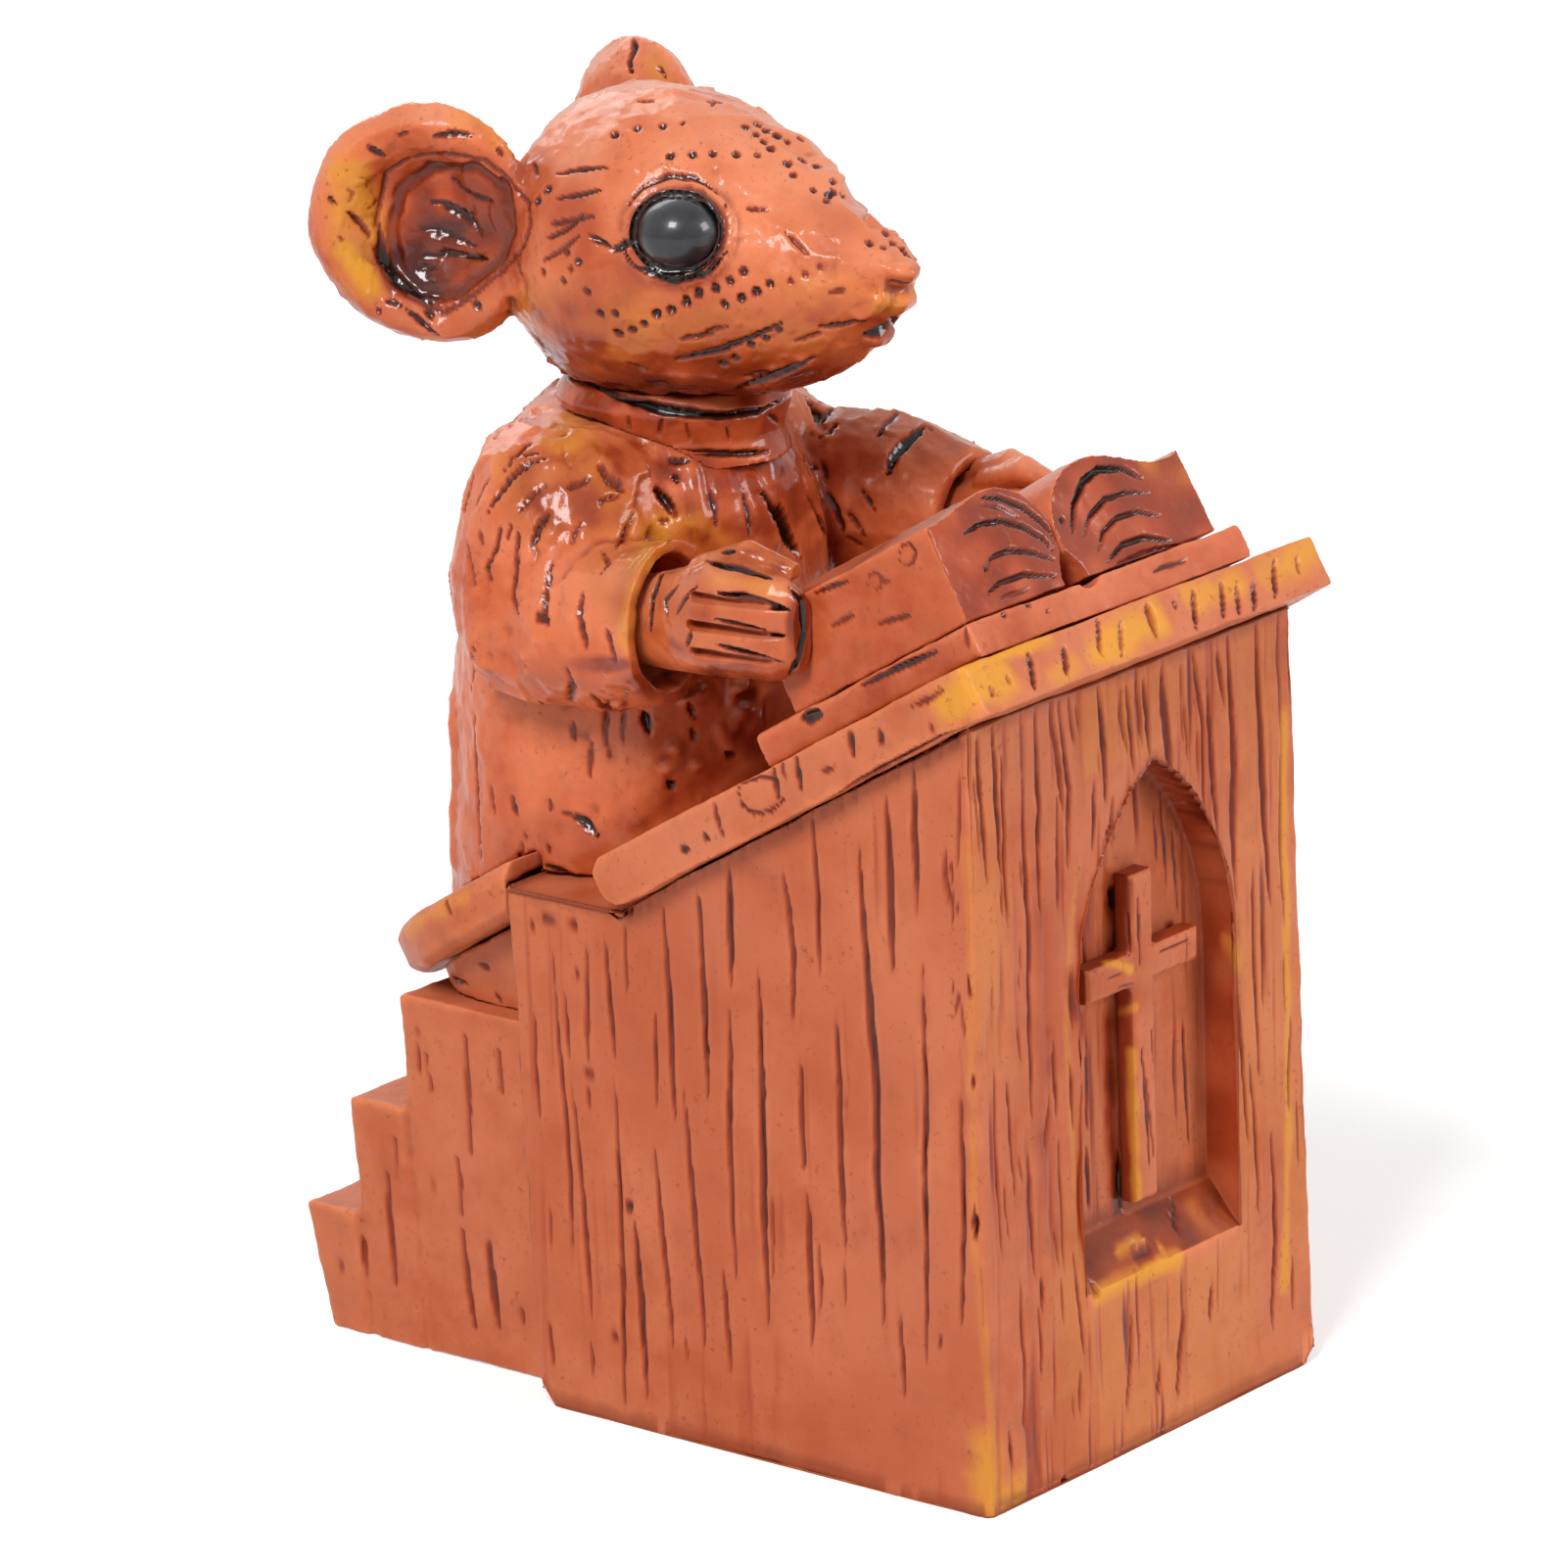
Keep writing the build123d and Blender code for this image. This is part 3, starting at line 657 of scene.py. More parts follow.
# Knife cuts up the lectern's right wall, its front and the steps' right side. Each is given by
# its place along the wall and height at the foot, its place half way, its place and height at
# the top, its width, and how dark it is, as whole numbers that are divided by these.
CUT_UNITS = (10, 10, 10, 10, 10, 100, 10)
SIDE_CUTS = (
    (-170, 95, -170, -165, 356, 55, 9), (-198, 75, -202, -205, 299, 34, 10),
    (-91, 78, -92, -94, 281, 46, 9), (45, 79, 45, 50, 262, 25, 8), (12, 14, 10, 9, 194, 33, 9),
    (-70, 102, -69, -73, 253, 38, 8), (-46, 52, -43, -39, 200, 37, 8), (33, 49, 36, 39, 188, 29, 7),
    (-145, 131, -146, -146, 265, 40, 9), (-223, 104, -227, -226, 230, 31, 10),
    (-32, 182, -31, -29, 304, 40, 9), (-56, 199, -55, -55, 319, 42, 10), (-24, 50, -19, -16, 167, 36, 7),
    (-4, 20, -2, 0, 118, 44, 9), (-185, 292, -185, -184, 387, 53, 8), (-116, 250, -118, -112, 338, 39, 7),
    (-121, 73, -121, -121, 159, 40, 9), (-136, 284, -136, -135, 364, 33, 8),
    (-203, 330, -202, -203, 404, 44, 8), (63, 160, 65, 66, 228, 22, 8), (9, 210, 11, 13, 277, 29, 9),
    (-120, 169, -120, -120, 235, 37, 8), (-75, 269, -75, -76, 331, 54, 9), (28, 203, 27, 26, 265, 32, 7),
    (-64, 45, -62, -61, 101, 32, 7), (-231, 361, -232, -232, 412, 23, 4), (-19, 189, -20, -21, 239, 30, 8),
    (-182, 56, -182, -181, 103, 30, 8), (-96, 108, -97, -97, 154, 15, 5),
    (-126, 91, -128, -127, 130, 21, 5), (-145, 94, -144, -143, 131, 16, 5), (40, 204, 41, 42, 239, 24, 7),
    (59, 87, 60, 61, 121, 17, 5), (-1, 251, -1, -1, 283, 23, 8), (-226, 334, -222, -223, 365, 45, 4),
    (-150, 196, -150, -150, 226, 15, 4), (63, 21, 64, 65, 49, 27, 5), (-232, 263, -230, -229, 285, 17, 4),
    (35, 23, 35, 35, 43, 24, 5), (-33, 41, -33, -32, 61, 15, 5), (28, 176, 28, 28, 192, 22, 6),
)
FRONT_CUTS = (
    (-91, 205, -88, -91, 401, 37, 7), (123, 271, 117, 115, 425, 57, 7), (93, 285, 92, 89, 424, 60, 6),
    (-118, 128, -120, -121, 253, 21, 5), (111, 180, 108, 108, 299, 32, 6), (118, 26, 124, 120, 139, 40, 5),
    (134, 251, 134, 134, 357, 26, 4), (-79, 323, -77, -79, 424, 35, 8), (108, 92, 106, 102, 192, 26, 5),
    (-107, 316, -106, -108, 415, 30, 6), (-103, 31, -102, -104, 125, 26, 4), (78, 317, 73, 71, 407, 40, 7),
    (-54, 338, -52, -58, 425, 38, 6), (98, 146, 96, 93, 233, 27, 7), (66, 341, 66, 59, 425, 36, 6),
    (-123, 350, -125, -127, 425, 34, 7), (-110, 350, -112, -114, 425, 44, 8),
    (-66, 119, -66, -67, 187, 18, 5), (-90, 122, -92, -93, 188, 29, 6), (136, 143, 138, 140, 205, 22, 3),
    (-21, 364, -21, -24, 425, 46, 9), (-106, 176, -108, -110, 236, 25, 5), (39, 365, 34, 31, 425, 70, 7),
    (-57, 367, -60, -65, 425, 45, 4), (-51, 67, -54, -57, 124, 26, 5), (-16, 20, -10, -7, 76, 32, 4),
    (-63, 319, -62, -62, 374, 24, 6), (5, 372, 3, 0, 425, 27, 7), (30, 17, 35, 39, 64, 40, 5),
    (134, 199, 134, 134, 242, 16, 3), (19, 382, 17, 14, 425, 37, 8), (49, 380, 48, 49, 422, 15, 3),
    (-69, 205, -70, -70, 246, 33, 5), (-121, 261, -121, -121, 302, 15, 3), (145, 118, 145, 144, 158, 16, 3),
    (115, 220, 115, 115, 260, 25, 5), (-128, 367, -129, -130, 406, 17, 3), (0, 386, -5, -5, 425, 23, 4),
    (-32, 342, -31, -31, 379, 34, 8), (12, 389, 11, 9, 425, 25, 4), (-112, 149, -114, -113, 185, 17, 3),
    (-55, 196, -56, -57, 231, 31, 6), (-88, 67, -87, -88, 101, 20, 5), (84, 395, 81, 79, 425, 38, 5),
    (-54, 249, -54, -53, 278, 41, 4), (137, 37, 138, 138, 66, 22, 4), (62, 355, 62, 62, 384, 23, 3),
    (-56, 32, -55, -53, 59, 23, 3), (-79, 188, -77, -75, 215, 36, 3), (53, 371, 52, 51, 398, 15, 4),
    (-68, 89, -68, -69, 114, 16, 3), (-23, 340, -15, -13, 365, 36, 3), (-98, 244, -99, -99, 268, 18, 3),
    (-44, 401, -47, -49, 425, 28, 5), (-97, 284, -96, -96, 307, 15, 3), (62, 51, 63, 64, 72, 30, 5),
    (-40, 403, -41, -43, 421, 16, 3), (-85, 103, -85, -85, 121, 30, 6), (-25, 379, -25, -25, 396, 16, 3),
    (-115, 23, -115, -115, 40, 34, 6), (13, 22, 15, 16, 39, 33, 6), (-71, 123, -71, -73, 140, 19, 4),
    (-111, 325, -111, -110, 341, 22, 4), (-61, 32, -61, -61, 46, 15, 3), (-99, 175, -100, -101, 189, 21, 2),
    (-94, 336, -93, -93, 350, 16, 3),
)
STEP_CUTS = (
    (198, 30, 200, 199, 101, 47, 6), (137, 125, 136, 135, 194, 33, 5), (143, 21, 146, 147, 77, 43, 6),
    (125, 24, 127, 128, 79, 55, 8), (222, 33, 222, 223, 78, 31, 4), (192, 80, 192, 191, 124, 19, 3),
    (171, 167, 170, 170, 203, 21, 5), (147, 86, 146, 147, 121, 31, 4), (111, 165, 111, 111, 191, 19, 4),
    (163, 156, 164, 165, 178, 19, 3), (166, 92, 166, 166, 111, 25, 4), (93, 16, 93, 93, 34, 15, 3),
    (238, 31, 238, 238, 47, 28, 4), (166, 68, 166, 166, 83, 15, 3), (106, 28, 107, 106, 42, 24, 5),
)


def cut_ink(dark):
    """How much dark paint stands in a cut of the tables above."""
    return 0.23 + 0.44 * dark


def wall_cuts(carving, table, wall, axis, depth):
    """Presses a table of upright cuts into a wall that stands square to an axis."""
    for cut in table:
        foot, low, middle, top, high, width, dark = np.array(cut) / CUT_UNITS
        line = []
        for place, height in ((foot, low), (middle, (low + high) / 2), (top, high)):
            point = np.array((place, place, height), float)
            point[axis] = wall
            line.append(point)
        line = carving.laid(line)
        carving.press(line, width, depth * (0.5 + dark / 2), cut_ink(dark))
        carving.dark_patch(line, 0.9, 0.16 * dark)


def chance_cuts(carving, seed, wall, axis, span, heights, count, depth):
    """Presses the same kind of cuts into a wall that the camera doesn't see."""
    chance = np.random.default_rng(seed)
    for index in range(count):
        place = span[0] + (index + chance.uniform(0.1, 0.9)) * (span[1] - span[0]) / count
        length = chance.uniform(2, 14) ** chance.uniform(0.8, 1.1)
        low = chance.uniform(heights[0], max(heights[0] + 0.1, heights[1] - length))
        high = min(heights[1], low + length)
        line = []
        for share in (0, 0.5, 1):
            point = np.full(3, place + chance.normal(0, 0.15))
            point[2] = low + (high - low) * share
            point[axis] = wall
            line.append(point)
        dark = chance.uniform(0.4, 1)
        carving.press(carving.laid(line), chance.uniform(0.2, 0.45), depth * dark, cut_ink(dark))


# Marks that the camera sees: width, depth and darkness, all in hundredths, and then the places in
# the picture that the mark runs through, column and row in turn. One place alone is a dot.
HEAD_MARKS = (
    (50, 35, 90, 627, 137), (45, 30, 80, 650, 129), (45, 30, 90, 676, 127), (40, 30, 70, 697, 125),
    (50, 35, 100, 684, 158), (45, 30, 90, 707, 158), (45, 30, 80, 728, 157), (40, 30, 80, 752, 157),
    (40, 30, 70, 774, 157), (50, 35, 100, 762, 128), (45, 35, 90, 773, 135), (50, 35, 100, 793, 140),
    (45, 30, 80, 803, 147), (50, 35, 100, 820, 163), (45, 30, 90, 833, 172), (40, 30, 80, 831, 193),
    (50, 35, 90, 850, 197), (40, 30, 80, 860, 200), (45, 30, 80, 888, 237), (40, 30, 70, 902, 242),
    (55, 40, 100, 630, 342), (50, 35, 90, 645, 339), (50, 35, 100, 657, 332), (55, 40, 100, 670, 322),
    (50, 35, 90, 685, 318), (55, 40, 100, 700, 309), (50, 35, 90, 713, 300), (50, 35, 100, 731, 295),
    (50, 35, 90, 745, 287), (50, 35, 80, 759, 277), (50, 35, 100, 740, 312), (50, 35, 90, 757, 305),
    (50, 35, 80, 772, 298), (45, 30, 80, 786, 290), (40, 25, 50, 807, 287), (40, 25, 50, 822, 280),
    (40, 25, 40, 837, 272), (50, 35, 90, 738, 373), (50, 35, 90, 751, 367), (50, 35, 90, 766, 353),
    (50, 35, 80, 782, 347), (45, 30, 80, 795, 338), (45, 30, 70, 577, 258), (45, 30, 80, 590, 267),
    (40, 30, 60, 582, 275), (40, 30, 70, 553, 278), (45, 30, 80, 575, 287), (45, 30, 70, 598, 298),
    (45, 30, 80, 612, 322), (45, 30, 80, 627, 322), (32, 25, 70, 567, 202, 592, 198, 617, 192),
    (30, 22, 60, 560, 227, 585, 224, 610, 220), (32, 25, 70, 563, 177, 592, 172, 623, 170),
    (30, 22, 60, 553, 267, 572, 256, 590, 240), (45, 35, 80, 687, 370, 733, 360, 765, 347, 797, 332),
    (50, 35, 90, 750, 395, 787, 383, 833, 365), (35, 25, 70, 693, 348, 727, 343),
    (35, 25, 70, 837, 335, 865, 331, 890, 323), (30, 20, 60, 760, 212, 785, 213),
    (30, 20, 60, 648, 101, 668, 100), (30, 20, 60, 720, 102, 740, 103),
    (50, 40, 100, 880, 344, 903, 333, 930, 313), (40, 30, 90, 908, 285, 920, 288, 930, 287),
    (40, 30, 80, 600, 240, 622, 252), (30, 20, 50, 800, 235, 815, 250, 826, 262),
    (30, 20, 50, 845, 300, 865, 296), (30, 20, 60, 720, 340, 742, 335), (30, 20, 60, 760, 385, 790, 378),
    (30, 20, 50, 810, 350, 840, 340), (30, 20, 60, 585, 225, 560, 230),
    (35, 25, 70, 556, 245, 575, 236, 598, 214), (30, 20, 60, 640, 370, 662, 380),
)
# Round the right eye, and on the far ear
LID_MARKS = (
    (40, 30, 100, 634, 254, 650, 272, 687, 286, 722, 279, 742, 256),
    (30, 20, 80, 640, 212, 657, 192, 682, 180, 708, 181, 732, 198),
    (40, 30, 100, 622, 256, 634, 252, 645, 246), (25, 20, 80, 736, 262, 728, 274), (40, 30, 90, 654, 196),
    (40, 35, 90, 644, 38, 648, 50, 643, 62, 645, 74),
)
EAR_MARKS = (
    (35, 30, 90, 458, 181, 480, 195, 503, 208), (30, 25, 80, 435, 205, 460, 209, 485, 218),
    (35, 30, 90, 450, 211, 473, 218, 488, 230, 493, 240),
    (30, 25, 90, 418, 231, 445, 233, 475, 245, 490, 253), (35, 30, 90, 433, 260, 460, 258, 500, 264),
    (30, 25, 80, 425, 271, 450, 275), (80, 20, 100, 387, 228, 390, 260, 408, 288, 440, 308),
    (35, 25, 80, 440, 138, 462, 136, 485, 139), (35, 25, 80, 374, 149, 394, 161),
    (30, 25, 80, 334, 200, 344, 208), (35, 25, 90, 354, 215, 368, 228, 378, 243),
    (35, 25, 80, 392, 307, 400, 308, 410, 312), (35, 30, 90, 414, 316, 430, 325, 444, 335),
    (30, 20, 70, 385, 315, 388, 320), (30, 25, 80, 525, 265, 530, 283), (30, 25, 80, 543, 163, 546, 180),
    (60, 30, 90, 558, 193), (50, 30, 90, 548, 205), (50, 30, 80, 436, 316), (50, 30, 80, 486, 308),
    (22, 10, 60, 352, 190, 360, 196, 356, 205), (22, 10, 60, 366, 178, 376, 184, 372, 196),
    (22, 10, 60, 370, 215, 380, 208, 388, 200), (22, 10, 50, 345, 240, 352, 248),
    (30, 20, 70, 405, 140, 418, 134), (30, 20, 70, 508, 150, 516, 158),
)
COLLAR_MARKS = (
    (75, 50, 100, 596, 387, 630, 402, 680, 418, 733, 425, 780, 420, 800, 407),
    (40, 30, 90, 662, 455, 707, 462, 753, 463, 785, 461), (30, 20, 70, 787, 424, 797, 432),
    (25, 15, 50, 620, 440, 645, 447, 662, 452), (25, 15, 40, 700, 432, 705, 450),
    (25, 15, 50, 640, 425, 642, 440), (25, 15, 40, 742, 436, 746, 452), (30, 20, 50, 676, 428, 672, 446),
)
SLEEVE_MARKS = (
    (39, 35, 84, 555, 465, 535, 475, 520, 486, 508, 502, 497, 522),
    (35, 25, 62, 557, 492, 537, 510, 526, 526), (43, 40, 66, 561, 521, 550, 537, 542, 562),
    (31, 30, 75, 509, 534, 506, 557, 496, 580, 499, 594),
    (30, 22, 62, 528, 540, 526, 580, 523, 610, 528, 634),
    (47, 45, 66, 564, 573, 557, 593, 553, 623, 557, 640),
    (43, 40, 66, 594, 602, 589, 622, 591, 643, 597, 664), (35, 28, 62, 616, 640, 620, 655, 626, 676),
    (39, 35, 84, 576, 499, 588, 494, 606, 485), (70, 50, 88, 611, 472, 624, 487, 641, 500),
    (31, 30, 79, 607, 514, 625, 507, 640, 505), (35, 35, 79, 651, 522, 641, 541, 628, 558),
    (25, 18, 53, 582, 558, 588, 543, 599, 529), (62, 50, 88, 667, 496, 680, 511, 691, 528),
    (35, 30, 88, 672, 534, 684, 531), (25, 20, 70, 541, 449, 525, 466, 511, 481),
    (22, 18, 70, 549, 458, 533, 464), (25, 20, 53, 503, 480, 490, 497, 480, 520),
    (25, 20, 53, 482, 480, 474, 508, 470, 527), (25, 20, 44, 474, 550, 479, 575, 484, 598),
    (70, 15, 62, 545, 626, 554, 634), (25, 20, 53, 520, 535, 517, 552), (31, 25, 70, 575, 443, 581, 441),
    (25, 15, 53, 572, 448, 577, 470, 586, 478), (30, 20, 44, 486, 540, 490, 556),
    (31, 20, 62, 613, 560, 620, 574, 612, 583), (30, 20, 44, 548, 500, 541, 506),
    (25, 20, 44, 510, 430, 503, 446), (25, 20, 44, 530, 423, 517, 438),
)
CHEST_MARKS = (
    (50, 35, 90, 680, 468, 692, 471, 704, 470), (50, 40, 90, 688, 484, 692, 492),
    (30, 25, 80, 725, 503, 728, 522, 731, 542), (30, 25, 80, 757, 500, 763, 525, 768, 558),
    (80, 50, 100, 777, 505, 793, 527, 807, 549, 818, 568), (40, 30, 80, 793, 513, 802, 530, 810, 547),
    (45, 35, 80, 821, 506, 833, 530, 846, 556), (40, 30, 80, 843, 500, 855, 520, 862, 541),
    (30, 25, 60, 864, 520, 884, 548), (35, 25, 70, 918, 422, 905, 428, 895, 443),
    (70, 45, 95, 943, 435, 927, 447, 913, 463, 905, 484), (25, 20, 50, 850, 410, 867, 411),
    (30, 20, 60, 958, 430, 950, 437), (30, 20, 50, 822, 455, 825, 490), (30, 20, 60, 838, 470, 846, 492),
    (35, 25, 70, 880, 500, 892, 522), (30, 20, 60, 867, 548, 880, 560),
)
SKIRT_MARKS = (
    (35, 25, 60, 487, 656, 482, 682, 477, 712), (45, 30, 60, 574, 680, 583, 700, 582, 718),
    (35, 25, 60, 583, 738, 584, 758), (40, 30, 50, 622, 716, 617, 747, 622, 774),
    (60, 40, 90, 657, 726, 663, 748), (40, 25, 70, 520, 809, 522, 822, 528, 834),
    (50, 40, 100, 583, 833, 598, 841, 610, 854), (50, 40, 100, 681, 799, 690, 806),
    (30, 20, 70, 598, 841, 596, 850), (30, 20, 60, 570, 828, 584, 834), (30, 25, 50, 500, 800, 503, 832),
    (30, 20, 50, 640, 700, 636, 740, 640, 790), (30, 20, 50, 603, 760, 600, 800),
    (30, 20, 60, 560, 815, 561, 830), (30, 25, 50, 535, 850, 530, 880), (40, 30, 60, 706, 745, 712, 756),
    (40, 30, 70, 740, 768, 752, 774), (35, 25, 60, 700, 715, 712, 735), (30, 20, 60, 556, 862, 562, 874),
    (30, 20, 50, 482, 720, 484, 800, 490, 880),
)
BAND_DOTS = (
    (449, 745), (450, 757), (450, 769), (450, 781), (449, 793), (448, 806), (448, 820), (448, 835),
    (448, 850), (449, 866), (450, 882), (452, 733), (453, 720), (454, 707), (455, 694), (456, 680),
)
HAND_MARKS = (
    (60, 50, 100, 732, 605, 758, 610, 785, 617, 806, 623),
    (35, 30, 75, 729, 632, 753, 638, 780, 645, 803, 650),
    (40, 35, 85, 731, 659, 747, 663, 773, 670, 799, 677),
    (50, 35, 100, 721, 572, 737, 577, 760, 581, 789, 591), (40, 25, 90, 736, 563, 751, 563),
    (35, 30, 80, 692, 597, 679, 612, 680, 628), (30, 25, 80, 712, 597, 698, 612, 690, 627),
    (35, 30, 70, 707, 641, 700, 661), (45, 40, 90, 687, 571, 674, 589, 666, 611, 663, 645),
    (60, 30, 100, 806, 600, 819, 614, 822, 645, 817, 672, 806, 690),
)
PAGE_MARKS = {
    "right": (
        (35, 25, 90, 884, 556, 899, 547, 913, 540), (30, 20, 80, 924, 534, 938, 526),
        (30, 20, 70, 831, 606, 849, 599, 867, 593), (30, 20, 60, 895, 638, 912, 633, 931, 628),
        (22, 12, 60, 917, 566, 920, 557, 928, 555, 934, 563, 932, 574, 924, 579, 918, 573),
        (22, 12, 50, 884, 598, 886, 588, 893, 585, 899, 590, 898, 600, 890, 604),
        (25, 15, 50, 900, 595, 909, 593), (30, 20, 50, 848, 640, 870, 628),
        (38, 40, 85, 1002, 507, 1023, 508, 1047, 518, 1066, 533, 1078, 548),
        (38, 40, 85, 986, 544, 1003, 534, 1023, 531, 1047, 538, 1067, 550, 1079, 563),
        (36, 35, 75, 1008, 580, 1013, 569, 1028, 562, 1049, 562, 1080, 571),
        (36, 35, 70, 1010, 606, 1023, 594, 1047, 586, 1081, 588),
        (30, 20, 70, 1017, 493, 1035, 492, 1053, 497), (35, 30, 90, 1008, 580),
        (30, 20, 60, 1003, 515, 1020, 517, 1040, 527), (30, 20, 50, 1020, 611, 1055, 600),
    ),
    "left": (
        (50, 45, 95, 1168, 489, 1147, 478, 1123, 478, 1107, 491, 1098, 513, 1097, 545),
        (36, 35, 80, 1174, 503, 1150, 502, 1128, 510, 1114, 527, 1108, 550),
        (36, 35, 75, 1186, 527, 1163, 522, 1141, 528, 1128, 543, 1124, 561),
        (40, 35, 85, 1195, 552, 1171, 548, 1148, 555, 1134, 572),
        (30, 25, 70, 1207, 557, 1170, 563, 1141, 577), (40, 30, 100, 1086, 530),
    ),
}
COVER_MARKS = (
    (60, 35, 90, 838, 694, 853, 684, 878, 672, 903, 661, 940, 647),
    (45, 30, 85, 876, 701, 895, 692, 913, 683, 957, 665), (90, 30, 90, 818, 734, 838, 727),
    (40, 25, 60, 770, 745, 790, 737, 812, 728), (50, 30, 90, 846, 688, 853, 684),
    (25, 15, 50, 985, 640, 987, 665), (40, 30, 90, 1026, 627), (40, 30, 90, 1051, 616),
    (30, 20, 60, 1072, 623), (80, 40, 100, 975, 636, 1003, 627, 1030, 616, 1056, 606, 1084, 597),
    (30, 20, 70, 855, 668, 870, 661), (30, 20, 70, 1178, 583, 1195, 577, 1215, 571),
)
DESK_MARKS = (
    (40, 30, 80, 1013, 699, 1015, 713), (40, 35, 90, 1051, 663, 1055, 686, 1058, 703),
    (40, 35, 90, 1088, 661, 1090, 676, 1091, 691), (35, 30, 90, 1122, 629, 1125, 668),
    (30, 25, 80, 1145, 632, 1147, 668), (55, 40, 90, 1171, 616, 1177, 632, 1182, 648),
    (35, 30, 90, 1219, 599, 1223, 642), (35, 30, 90, 1248, 591, 1252, 631),
    (30, 25, 80, 1263, 593, 1267, 628), (35, 30, 90, 1280, 593, 1282, 624),
    (35, 30, 90, 1302, 573, 1303, 611), (35, 30, 80, 867, 736, 868, 753, 870, 774),
    (30, 25, 70, 898, 743, 899, 764), (35, 30, 80, 808, 756, 812, 778, 817, 808),
    (35, 30, 70, 787, 777, 790, 800, 794, 821), (25, 15, 60, 797, 778, 800, 800),
    (30, 20, 60, 727, 812, 731, 835, 738, 857), (45, 30, 90, 716, 853, 722, 858),
    (45, 25, 80, 693, 869, 702, 866), (40, 30, 90, 600, 888), (30, 25, 60, 617, 930),
    (25, 15, 70, 752, 806, 757, 798, 775, 793, 792, 797),
    (25, 15, 70, 752, 808, 756, 822, 768, 831, 785, 829, 800, 815),
    (45, 30, 80, 668, 924, 705, 903, 743, 881, 790, 852, 829, 827),
    (45, 30, 70, 829, 827, 890, 792, 960, 755, 1002, 737), (30, 20, 60, 836, 790, 852, 783),
    (30, 20, 60, 930, 722, 950, 713, 962, 704), (30, 20, 60, 1030, 686, 1032, 700),
    (30, 20, 60, 1200, 611, 1202, 622), (25, 20, 50, 950, 738, 952, 752),
    (30, 20, 60, 1325, 565, 1328, 588),
)
LANDING_MARKS = (
    (30, 20, 60, 455, 917, 459, 934), (45, 30, 90, 564, 907, 575, 901, 587, 893),
    (60, 30, 90, 591, 926, 596, 922), (50, 35, 90, 518, 905, 540, 895, 557, 888, 594, 875),
)
CORBEL_MARKS = (
    # The first two marks are creases under the landing and at the corbel's foot; their dark paint is
    # painted shadow
    (100, 40, 100, 441, 989, 455, 978, 471, 967, 488, 956, 510, 947),
    (80, 30, 90, 428, 1009, 450, 1020, 471, 1031, 514, 1038), (40, 25, 70, 460, 1000, 475, 1005),
    (40, 25, 60, 488, 985, 500, 990), (30, 20, 60, 505, 1015, 512, 1025),
)
NICHE_MARKS = (
    (25, 20, 70, 1181, 832, 1183, 880), (25, 20, 70, 1190, 838, 1194, 910),
    (25, 20, 60, 1199, 850, 1206, 925), (25, 20, 50, 1140, 838, 1136, 862),
    (30, 20, 70, 1112, 1060, 1112, 1160), (30, 20, 60, 1104, 1070, 1107, 1130),
    (30, 20, 80, 1111, 1170, 1114, 1240), (30, 20, 70, 1210, 1040, 1216, 1170),
    (25, 20, 50, 1200, 1050, 1203, 1140), (30, 20, 70, 1199, 1225, 1200, 1262),
    (70, 30, 100, 1135, 905, 1138, 925), (50, 30, 90, 1186, 960, 1203, 947),
    (40, 30, 100, 1143, 1180, 1146, 1238), (50, 35, 90, 1117, 1325, 1124, 1318),
    (110, 35, 62, 1154, 1280, 1165, 1277, 1176, 1276),
)
CROSS_MARKS = (
    (22, 15, 70, 1166, 1060, 1172, 1130, 1176, 1210), (20, 12, 55, 1177, 1050, 1184, 1150),
    (20, 12, 60, 1150, 925, 1154, 978), (22, 15, 65, 1162, 915, 1166, 990),
    (20, 10, 50, 1128, 1000, 1150, 994), (20, 12, 60, 1186, 972, 1216, 960),
    (20, 12, 50, 1172, 1100, 1180, 1190), (20, 10, 50, 1140, 1010, 1160, 1004),
)
FOOT_MARKS = (
    (50, 30, 90, 1135, 1494, 1170, 1477, 1210, 1457), (40, 25, 80, 1250, 1440, 1290, 1421, 1326, 1405),
    (30, 20, 70, 1085, 1516, 1110, 1505), (50, 40, 90, 994, 1238, 996, 1262),
    (30, 20, 70, 992, 1100, 994, 1112), (30, 20, 60, 988, 1000, 990, 1020),
    # The first mark of the next row, at 622 931, is painted shadow under the desk's lower end
    (50, 30, 70, 622, 931, 643, 928), (25, 15, 60, 532, 952, 545, 943, 557, 938, 572, 940, 586, 946),
    (30, 20, 60, 957, 1368, 961, 1374), (25, 12, 50, 966, 1015, 972, 1010, 978, 1022, 972, 1038),
    (22, 12, 50, 965, 880, 975, 890, 966, 910, 978, 925, 970, 940),
    (22, 12, 50, 582, 985, 588, 992, 585, 1002), (50, 30, 80, 641, 1233),
    (30, 20, 50, 622, 1362, 630, 1366), (22, 10, 50, 580, 1100, 600, 1097, 625, 1093),
)


def strokes(carving, stroke, table, both_sides=False):
    """Draws the rows of a table: the places in the picture that it runs through, then its numbers."""
    for pixels, *settings in table:
        line = carving.seen(pixels)
        stroke(line, *settings)
        if both_sides:
            stroke(carving.mirrored(line), *settings)


def engrave(carving, table, both_sides=False):
    """Presses a table of marks where the camera sees them, and again on the other side."""
    for width, depth, dark, *pixels in table:
        row = (pixels, width / 100, depth / 100, dark / 100)
        strokes(carving, carving.press, [row], both_sides)


